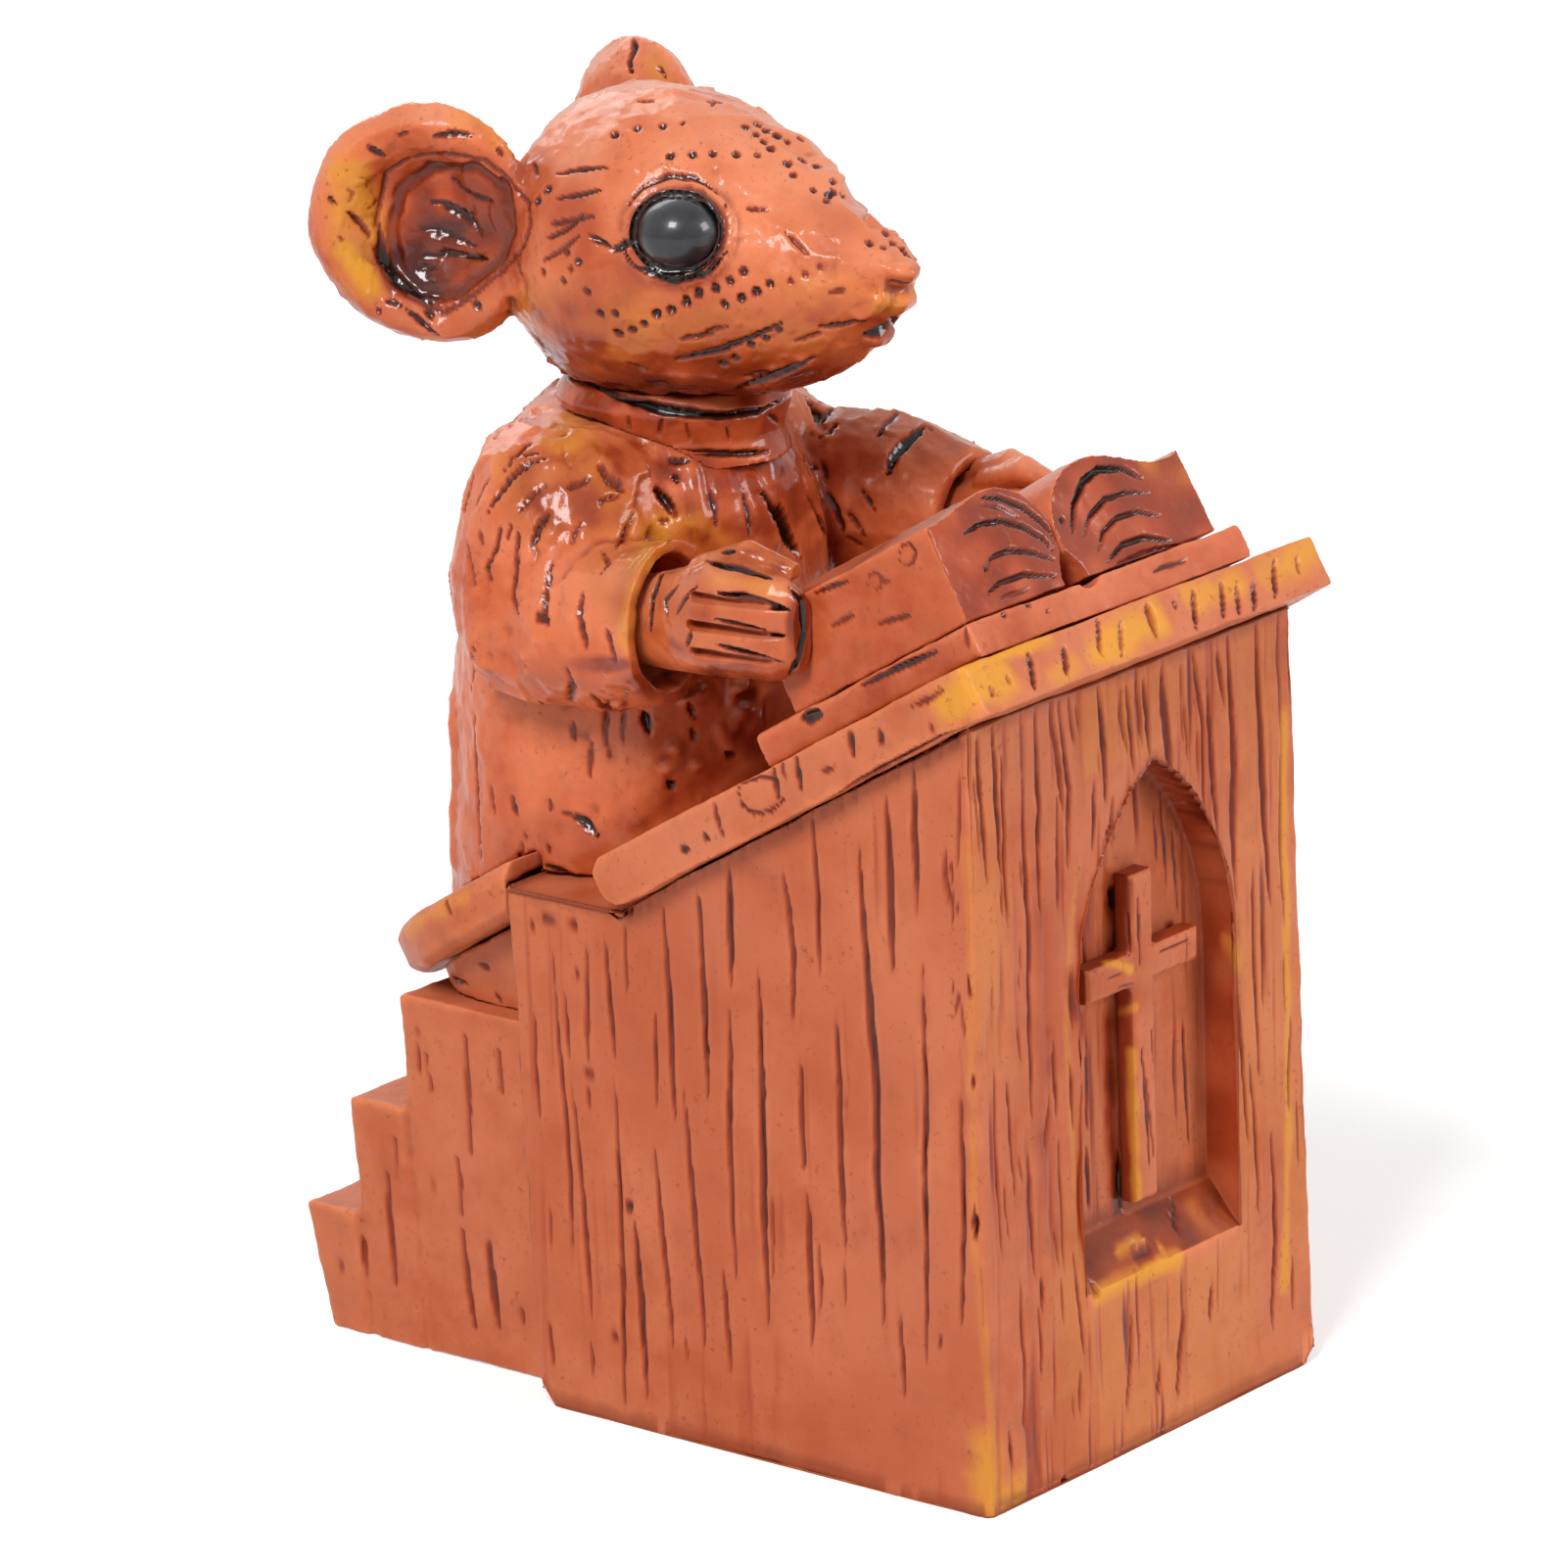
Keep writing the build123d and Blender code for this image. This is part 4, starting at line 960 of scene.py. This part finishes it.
def hidden_cuts(carving, seed, count, longest, lean=(0, 0, 1)):
    """Scatters knife cuts over the parts that the camera doesn't see."""
    chance = np.random.default_rng(seed)
    offset = carving.places - np.array(camera_place)
    hidden = np.nonzero(np.einsum("ij,ij->i", offset, carving.outward) > 0)[0]
    for spot in chance.choice(hidden, count):
        outward = carving.outward[spot]
        run = np.array(lean) + chance.normal(0, 0.25, 3)
        run -= outward * (run @ outward)
        run *= chance.uniform(0.25, 1) * longest / max(np.linalg.norm(run), 0.2)
        line = carving.laid([carving.places[spot] + run * share for share in (0, 0.5, 1)])
        width, depth = chance.uniform(0.28, 0.5), chance.uniform(0.2, 0.35)
        carving.press(line, width, depth, chance.uniform(0.5, 0.95))


def comb(carving, inside, strength, size, depth, seed):
    """Draws fine upright bristle lines over part of a piece."""
    picked = np.nonzero(inside)[0]
    places = carving.places[picked] * np.array((1, 1, 0.035))
    lines = np.clip(grain(places, size, seed) * 2.2 - 0.7, 0, 1)
    patchy = np.clip(0.6 + grain(carving.places[picked], 5.0, seed + 1), 0, 1)
    lift(carving.ink, strength * lines * patchy, picked)
    lift(carving.cut, depth * lines * patchy, picked)


# Lectern body
lectern = Carving("carved_lectern_body", panelled("lectern_body", 0.13, 0.55, 3))
wall_cuts(lectern, SIDE_CUTS, RIGHT_WALL, 0, 0.4)
wall_cuts(lectern, FRONT_CUTS, FRONT_WALL, 1, 0.35)
chance_cuts(lectern, 5, LEFT_WALL, 0, (-22.8, 6.8), (1.5, 30), 34, 0.4)
chance_cuts(lectern, 6, UPPER_LEFT_WALL, 0, (-22.8, -8), (29, 40), 12, 0.35)
chance_cuts(lectern, 7, BACK_WALL, 1, (-13, 13.5), (1.5, 28), 22, 0.35)
front_wall = lectern.outward[:, 1] < -0.97
comb(lectern, front_wall, 0.62, 0.24, 0.1, 31)
comb(lectern, front_wall, 0.4, 0.5, 0.08, 35)
side_walls = np.abs(lectern.outward[:, 0]) > 0.8
comb(lectern, side_walls, 0.25, 0.4, 0.03, 41)
lectern.mottle(lectern.ink, side_walls, 0.05, 0.1, 4.5, 65, (1, 1, 0.4))
across, ahead, height = lectern.places.T
in_niche = (np.abs(across - NICHE_MIDDLE) < NICHE_HALF) & (height > NICHE_FOOT) & (height < NICHE_TOP)
sloped = lectern.outward[:, 2] > 0.4
reveal = in_niche & (ahead < FRONT_EDGE) & ((np.abs(lectern.outward[:, 1]) < 0.7) | sloped)
# The niche's jambs and sill get painted shade, a darker paint that stands in for the shade inside the
# niche; the sill also gets ochre paint and more painted shade
lectern.mottle(lectern.ink, reveal, 0.27, 0.12, 2.0, 61)
lectern.mottle(lectern.ochre, reveal & sloped, 0.6, 0.3, 1.2, 63)
lectern.mottle(lectern.ink, reveal & sloped, 0.4, 0.2, 1.6, 64)
engrave(lectern, NICHE_MARKS + FOOT_MARKS)
edge = lectern.seen((985, 860, 990, 940, 992, 1020, 990, 1100, 994, 1260, 1006, 1380, 1016, 1460))
lectern.gild(edge, 0.4, 0.26)
lectern.gild(lectern.mirrored(edge), 0.55, 0.7)
strokes(lectern, lectern.gild, (
    ((1002, 1480, 1010, 1535, 1045, 1522), 1.6, 0.7),
    ((1122, 1322, 1150, 1308, 1180, 1297, 1205, 1287), 0.7, 1.0),
    ((1143, 1281, 1150, 1271, 1165, 1265, 1180, 1267, 1190, 1276, 1182, 1287, 1162, 1291), 0.35, 1.0),
    ((1105, 880, 1096, 950, 1090, 1050, 1096, 1160, 1106, 1240), 0.35, 0.3),
    ((1252, 960, 1262, 970, 1266, 985), 0.7, 0.7),
))
strokes(lectern, lectern.dark_patch, (
    ((1062, 900, 1070, 1000, 1072, 1100), 1.6, 0.33), ((1066, 1130, 1070, 1200, 1080, 1260), 1.6, 0.33),
    # The next three patches are painted shadow cast by the cross on the niche behind it
    ((1134, 1045, 1136, 1140, 1141, 1238), 0.8, 0.6, 0.6),
    ((1133, 900, 1136, 940, 1140, 972), 0.8, 0.6, 0.6),
    ((1096, 1000, 1100, 1030, 1108, 1052), 0.8, 0.6, 0.6),
    ((1225, 870, 1240, 950, 1248, 1060), 1.4, 0.22), ((1250, 1100, 1255, 1200, 1250, 1240), 1.4, 0.22),
))
face = (lectern.outward[:, 1] < -0.8) & ~in_niche
lectern.mottle(lectern.ochre, face, 0.08, 0.16, 3.0, 62, (1, 1, 0.3))
lectern.finish(["lectern_body"], lectern_paint, wobble=0.12, wobble_size=4.5)

# Niche cross
cross = Carving("carved_niche_cross", blank("cross", ["niche_cross"], 0.13, 3))
# The cross's sides get painted shade: darker paint for the shade on them
flank = np.abs(cross.outward[:, 1]) < 0.6
lift(cross.ink, 0.34, flank)
engrave(cross, CROSS_MARKS)
strokes(cross, cross.gild, (
    ((1154, 1076, 1156, 1150, 1160, 1228, 1185, 1222), 0.45, 0.9),
    ((1120, 976, 1130, 982, 1140, 984, 1155, 990), 0.4, 0.9),
    ((1124, 1036, 1142, 1034, 1160, 1029), 0.35, 0.7),
))
comb(cross, cross.outward[:, 1] < -0.7, 0.6, 0.22, 0.08, 51)
cross.finish(["niche_cross"], lectern_paint, wobble=0.05)

# Desk board
desk = Carving("carved_desk_board", blank("desk", ["desk_board"], 0.2, 3))
engrave(desk, DESK_MARKS)
strokes(desk, desk.gild, (
    ((970, 725, 985, 705, 1005, 697, 1025, 690), 1.5, 0.85), ((985, 683, 1020, 668, 1070, 650), 0.8, 0.9),
    ((1125, 662, 1150, 650, 1180, 634), 1.5, 0.9), ((1215, 610, 1240, 602, 1268, 596), 1.1, 0.7),
    ((1300, 585, 1325, 572, 1345, 560), 1.5, 0.8), ((1075, 690, 1100, 680), 0.8, 0.5),
))
desk.finish(["desk_board"], lectern_paint)

# Steps
steps = Carving("carved_steps", blank("steps", ["top_step", "middle_step", "bottom_step"], 0.2, 3))
wall_cuts(steps, STEP_CUTS, STEPS_RIGHT, 0, 0.35)
chance_cuts(steps, 9, STEPS_LEFT, 0, (9.5, 25), (1.5, 14), 18, 0.35)
chance_cuts(steps, 10, STEPS_BACK, 1, (-9, 11), (1.5, 8), 12, 0.3)
hidden_cuts(steps, 14, 60, 3.5)
steps.finish(["top_step", "middle_step", "bottom_step"], lectern_paint)

# Landing and its corbel
landing = Carving("carved_landing_board", blank("landing", ["landing_board"], 0.2, 3))
engrave(landing, LANDING_MARKS)
landing.gild(landing.seen((415, 950, 440, 930, 470, 915)), 0.8, 0.35)
hidden_cuts(landing, 18, 24, 1.5)
landing.finish(["landing_board"], lectern_paint)
corbel = Carving("carved_landing_corbel", blank("corbel", ["landing_corbel"], 0.2, 3))
engrave(corbel, CORBEL_MARKS)
# The whole corbel gets painted shade for its place under the landing
corbel.mottle(corbel.ink, slice(None), 0.04, 0.14, 1.5, 93)
hidden_cuts(corbel, 17, 12, 3)
corbel.finish(["landing_corbel"], lectern_paint)

# Book
cover = Carving("carved_book_cover", blank("cover", ["book_cover"], 0.18, 3))
engrave(cover, COVER_MARKS)
cover.finish(["book_cover"], book_paint)
for side in ("right", "left"):
    pages = Carving(f"carved_{side}_pages", blank("pages", [f"{side}_pages"], 0.15, 3))
    engrave(pages, PAGE_MARKS[side])
    if side == "right":
        pages.gild(pages.seen((960, 512, 1000, 498, 1030, 492, 1056, 500)), 0.9, 0.45)
        strokes(pages, pages.dark_patch, (
            ((1010, 540, 1050, 560, 1070, 585, 1020, 600), 1.6, 0.33),
            ((1050, 520, 1075, 545, 1080, 590), 1.1, 0.4),
        ))
    else:
        pages.gild(pages.seen((1168, 478, 1190, 475, 1208, 470, 1212, 492)), 1.0, 0.75)
        pages.dark_patch(pages.seen((1105, 500, 1115, 540, 1130, 570, 1170, 560)), 1.4, 0.4)
    pages.mottle(pages.ink, pages.outward[:, 1] < -0.5, 0.32, 0.16, 1.5, 91)
    pages.finish([f"{side}_pages"], book_paint)

# Robe
robe = Carving("carved_robe", blank("robe", ["cassock", "right_sleeve", "left_sleeve"], 0.22, 6))
engrave(robe, SLEEVE_MARKS + SKIRT_MARKS, both_sides=True)
engrave(robe, CHEST_MARKS + tuple((40, 25, 60, *place) for place in BAND_DOTS))
strokes(robe, robe.heap, (
    ((706, 480, 712, 510, 716, 545), 1.6, 0.35), ((742, 485, 745, 515, 752, 550), 1.5, 0.3),
    ((772, 490, 785, 520, 793, 552), 1.2, 0.3), ((812, 490, 825, 520, 838, 556), 1.5, 0.3),
    ((462, 690, 462, 780, 463, 880), 1.6, 0.3), ((735, 745, 745, 765), 1.2, 0.3),
    ((700, 715, 720, 705), 1.1, 0.35),
))
strokes(robe, robe.gild, (
    ((580, 450, 600, 480, 625, 515, 645, 535), 2.2, 0.6),
    ((655, 565, 675, 545, 700, 535, 726, 548), 1.5, 0.85), ((645, 590, 640, 620, 642, 650), 1.0, 0.5),
    ((455, 720, 457, 790, 458, 880), 0.9, 0.45), ((575, 425, 590, 450), 1.6, 0.5),
    ((520, 470, 530, 490), 1.6, 0.3),
))
strokes(robe, robe.dark_patch, (
    ((640, 470, 700, 480, 760, 480, 810, 470), 3.0, 0.5), ((700, 510, 760, 530, 820, 550), 2.6, 0.34),
    # The second patch on the next line, under the hand, is painted shade
    ((850, 540, 870, 560), 2.2, 0.26), ((660, 700, 690, 696, 725, 690), 1.8, 0.6),
    ((650, 650, 660, 680), 1.0, 0.45), ((640, 850, 700, 805, 740, 785), 1.4, 0.34),
    # The first patch on the next line, under the sleeve, is painted shade
    ((540, 690, 590, 700), 1.4, 0.22), ((750, 715, 765, 740, 770, 765), 1.2, 0.34),
))
# Rough crumbs of resin below the hand
crumbled = robe.oval(692, 774, 34, 20) + robe.oval(760, 718, 34, 38)
crumbs = grain(robe.places, 0.75, 77) + 0.5 * grain(robe.places, 1.7, 78)
lift(robe.raised, 0.75 * crumbled * np.clip(crumbs + 0.2, 0, 1))
lift(robe.ink, 0.9 * crumbled * np.clip(-crumbs - 0.1, 0, 0.8))
chest = robe.oval(770, 520, 130, 110)
gathers = grain(robe.places * (1, 1, 0.15), 1.5, 75)
lift(robe.raised, 0.35 * chest * np.clip(gathers, 0, 1))
lift(robe.ink, 0.5 * chest * np.clip(-gathers, 0, 1))
skirt = robe.places[:, 2] < SKIRT_TOP
folds = np.clip(grain(robe.places[skirt] * (1, 1, 0.12), 2.4, 71), -0.2, 1)
lift(robe.raised, 0.3 * folds, skirt)
robe.wash_and_shade((
    (770, 505, 100, 75, 0.36, 0), (760, 470, 90, 30, 0.36, 0), (590, 500, 95, 70, 0.34, 0.3),
    # The last two ovals on the next line are painted shade in a band under the sleeve and hand
    (640, 470, 40, 40, 0.34, 0.2), (690, 698, 75, 20, 0.45, 0), (610, 680, 50, 12, 0.4, 0),
    (700, 830, 60, 50, 0.18, 0), (600, 740, 60, 80, 0.05, 0), (640, 590, 50, 60, 0.2, 0.3),
    (560, 860, 90, 40, 0.2, 0), (540, 480, 40, 40, 0.22, 0.1), (700, 560, 60, 40, 0.3, 0.2),
))
hidden_cuts(robe, 15, 120, 3.5)
robe.chip(2.6, 0.9, 72)
robe.finish(["cassock", "right_sleeve", "left_sleeve"], robe_paint, wobble=0.12, fine=0.035)
collar = Carving("carved_collar", blank("collar", ["collar"], 0.13, 4))
engrave(collar, COLLAR_MARKS)
collar.dark_patch(collar.seen((600, 400, 680, 430, 760, 430, 800, 415)), 1.4, 0.45)
collar.mottle(collar.ink, slice(None), 0.26, 0.2, 1.4, 94)
collar.finish(["collar"], robe_paint)

# Head with its ears
head_shape = blank("head", ["head", "right_ear", "left_ear"], 0.18, 6)
for middle in EYES.values():
    narrow_eye(head_shape, middle)
head = Carving("carved_head", head_shape)
engrave(head, HEAD_MARKS + EAR_MARKS, both_sides=True)
engrave(head, LID_MARKS)
# The rim of the ear's bowl and the groove inside it, with blunt ends
strokes(head, head.press, (
    ((
        383, 230, 395, 178, 418, 163, 455, 156, 493, 163, 520, 183, 538, 208, 540, 230, 533, 250,
        515, 275, 485, 298, 450, 313, 418, 303, 393, 280, 383, 253,
    ), 0.3, 0.15, 0.55, 0),
    ((
        400, 235, 408, 195, 440, 172, 485, 172, 515, 195, 522, 235, 508, 268, 470, 295, 430, 298,
        405, 270, 400, 235,
    ), 0.9, 0.3, 0.55, 0),
), both_sides=True)
HEAD_WASHES_AND_SHADOW = (
    # The first two ovals are painted shadow under the jaw; the rest are washes and ochre
    (740, 385, 170, 50, 0.42, 0), (700, 400, 120, 30, 0.6, 0), (590, 340, 55, 70, 0.34, 0),
    (585, 235, 45, 70, 0.24, 0), (895, 338, 40, 22, 0.3, 0), (462, 236, 96, 92, 0.6, 0),
    (430, 280, 60, 40, 0.62, 0), (470, 225, 60, 45, 0.4, 0), (545, 190, 30, 50, 0.26, 0),
    (690, 245, 75, 68, 0.2, 0), (840, 240, 60, 60, 0.14, 0), (620, 290, 60, 45, 0.24, 0),
    (850, 330, 90, 35, 0.2, 0), (540, 330, 40, 40, 0.3, 0), (480, 330, 60, 22, 0.2, 0),
    (760, 345, 110, 40, 0.2, 0.3), (640, 335, 60, 50, 0, 0.4), (360, 230, 32, 90, 0, 0.62),
    (840, 300, 60, 30, 0, 0.25), (560, 320, 50, 40, 0, 0.3), (505, 345, 50, 30, 0, 0.35),
    (905, 308, 25, 18, 0, 0.5),
)
head.wash_and_shade(HEAD_WASHES_AND_SHADOW)
head.wash_and_shade(HEAD_WASHES_AND_SHADOW, mirrored=True)
for middle in EYES.values():
    reach = np.linalg.norm((head.places - np.array(middle)) / (1, 1, EYE_SQUEEZE), axis=1)
    crease = np.clip(1.6 - np.abs(reach - LID_CREASE) / 0.2, 0, 1)
    lift(head.ink, crease)
    lift(head.cut, 0.25 * crease)
    lift(head.raised, 0.3 * np.clip(1 - np.abs(reach - LID_RIDGE) / 0.32, 0, 1))
head.drag((455, 335, 490, 335, 510, 325), 2.6, 0.2, -0.55)
head.drag((895, 240, 925, 256), 2.6, 0, -0.55, sides=(1,))
in_ear = (head.places[:, 1] > 12) & (np.abs(head.places[:, 0]) > 4)
lift(head.raised, 0.3 * np.clip(grain(head.places[in_ear], 2.8, 83), 0, 1), in_ear)
strokes(head, head.heap, (
    ((641, 222, 658, 199, 688, 187, 716, 195, 735, 222), 0.9, 0.35),
    ((640, 264, 664, 283, 698, 290, 732, 276, 745, 250), 0.9, 0.3),
    ((806, 142, 826, 152, 842, 170, 850, 186), 3.6, 0.5), ((915, 268, 930, 270), 1.6, 0.2),
    ((895, 344, 910, 340, 920, 330), 2.2, 0.6), ((918, 308, 930, 306), 1.8, 0.55),
    ((926, 318, 934, 314), 0.9, 0.3), ((470, 225, 490, 232), 0.9, 0.25),
    ((440, 245, 470, 252), 0.9, 0.25), ((880, 322, 905, 306), 1.4, 0.3),
    ((690, 390, 760, 395, 820, 375), 2.2, 0.3),
))
strokes(head, head.dark_patch, (
    # The next patch is painted shadow under the jaw, on the neck
    ((600, 372, 650, 388, 700, 400, 760, 402, 800, 392), 2.4, 0.6),
    ((650, 360, 720, 372, 790, 365), 1.6, 0.25), ((400, 235, 410, 270, 440, 295), 1.6, 0.75),
    ((720, 345, 780, 335, 840, 318), 2.0, 0.3), ((600, 300, 640, 345, 690, 370), 2.6, 0.28),
    ((540, 300, 560, 320, 590, 345), 1.6, 0.3), ((640, 270, 690, 290, 740, 275), 0.9, 0.4),
    ((935, 270, 944, 280), 0.8, 0.35), ((860, 350, 900, 345), 1.0, 0.35),
), both_sides=True)
strokes(head, head.gild, (
    ((352, 255, 366, 272, 378, 292), 1.1, 1.0), ((358, 180, 362, 205, 382, 235), 1.5, 0.7),
    ((470, 120, 500, 130, 525, 150), 0.9, 0.3), ((540, 300, 520, 330), 1.0, 0.35),
    ((640, 345, 690, 335, 730, 325), 1.4, 0.3),
), both_sides=True)
jowl = np.clip((CHEEK_HEIGHT - head.places[:, 2]) / 8, 0, 1) * 0.34
lift(head.ink, jowl * (0.9 + 0.8 * grain(head.places, 1.8, 81)))
hidden_cuts(head, 16, 60, 2.5, lean=(0, 0.7, 0.7))
head.chip(2.4, 0.9, 82)
head.finish(["head", "right_ear", "left_ear"], mouse_paint, wobble=0.1, fine=0.03)
for side in ("right", "left"):
    bead_shape = narrow_eye(blank("bead", [f"{side}_eye"], 0.09, 4), EYES[side])
    bead = Carving(f"{side}_eye_bead", bead_shape)
    bead.finish([f"{side}_eye"], eye_paint, wobble=0.02, fine=0.0)

# Hands
for side in ("right", "left"):
    hand = Carving(f"carved_{side}_hand", blank("hand", [f"{side}_hand"], 0.1, 4))
    if side == "right":
        engrave(hand, HAND_MARKS)
        hand.gild(hand.seen((730, 590, 760, 595, 790, 605)), 0.8, 0.35)
        hand.dark_patch(hand.seen((665, 640, 690, 660, 720, 675, 780, 690)), 1.2, 0.4)
        hand.wash_and_shade((
            (700, 620, 50, 60, 0.26, 0.1), (760, 690, 70, 22, 0.5, 0), (770, 575, 60, 25, 0.3, 0.3),
            (815, 640, 18, 60, 0.5, 0), (760, 640, 70, 50, 0.16, 0),
        ))
    hand.finish([f"{side}_hand"], mouse_paint, wobble=0.04)


def background_rays(start):
    """1 for the rays that show the background: the camera's own, and mirrored and refracted ones."""
    camera_ray, glossy_ray, clear_ray = (
        start.node("ShaderNodeLightPath", {}, {}, output=output) for output in (0, 3, 6)
    )
    return (camera_ray + glossy_ray + clear_ray).clipped()


# Floor, lamps and camera
floor_shape = bmesh.new()
bmesh.ops.create_grid(floor_shape, x_segments=1, y_segments=1, size=3.0)
floor_mesh = bpy.data.meshes.new("floor")
floor_shape.to_mesh(floor_mesh)
floor_shape.free()
floor = bpy.data.objects.new("floor", floor_mesh)
bpy.context.scene.collection.objects.link(floor)
floor_material, floor_shader, floor_start = new_material("floor_white")
floor_shader.inputs["Base Color"].default_value = (0.88, 0.88, 0.88, 1)
floor_shader.inputs["Roughness"].default_value = 0.9
shown = background_rays(floor_start) * 0.3
floor_material.node_tree.links.new(shown.socket, floor_shader.inputs["Emission Color"])
floor_shader.inputs["Emission Strength"].default_value = 1
floor_mesh.materials.append(floor_material)


def soft_lamp(name, place, size, power):
    """A square soft lamp that faces the ornament."""
    lamp = bpy.data.lights.new(name, "AREA")
    lamp.shape = "SQUARE"
    lamp.size = size
    lamp.energy = power
    holder = bpy.data.objects.new(name, lamp)
    target = Vector((0, 0, 0.035))
    holder.location = place
    holder.rotation_euler = (target - Vector(place)).to_track_quat("-Z", "Y").to_euler()
    bpy.context.scene.collection.objects.link(holder)


soft_lamp("key", (-0.55, -0.15, 0.6), 0.25, 5.6)
soft_lamp("fill", (0.35, -0.65, 0.35), 0.3, 3.2)
soft_lamp("back", (0.3, 0.6, 0.5), 0.4, 1.5)

world = bpy.data.worlds.new("studio")
world.use_nodes = True
sky = world.node_tree.nodes["Background"]
sky_start = Wire(world.node_tree)
brightness = 0.3 + background_rays(sky_start) * 0.7
world.node_tree.links.new(brightness.socket, sky.inputs["Strength"])
sky.inputs["Color"].default_value = (1, 1, 1, 1)
bpy.context.scene.world = world
bpy.context.scene.view_settings.view_transform = "Standard"

lens = bpy.data.cameras.new("camera")
lens.sensor_width = SENSOR
lens.lens = SENSOR * PIXELS_PER_MM * DISTANCE / PICTURE_SIZE
lens.shift_x = (PICTURE_SIZE / 2 - AIM_COLUMN) / PICTURE_SIZE
lens.shift_y = (AIM_ROW - PICTURE_SIZE / 2) / PICTURE_SIZE
camera = bpy.data.objects.new("camera", lens)
turned = Matrix((camera_right, camera_up, camera_back)).transposed().to_4x4()
camera.matrix_world = Matrix.Translation(camera_place * MM) @ turned
bpy.context.scene.collection.objects.link(camera)
bpy.context.scene.camera = camera
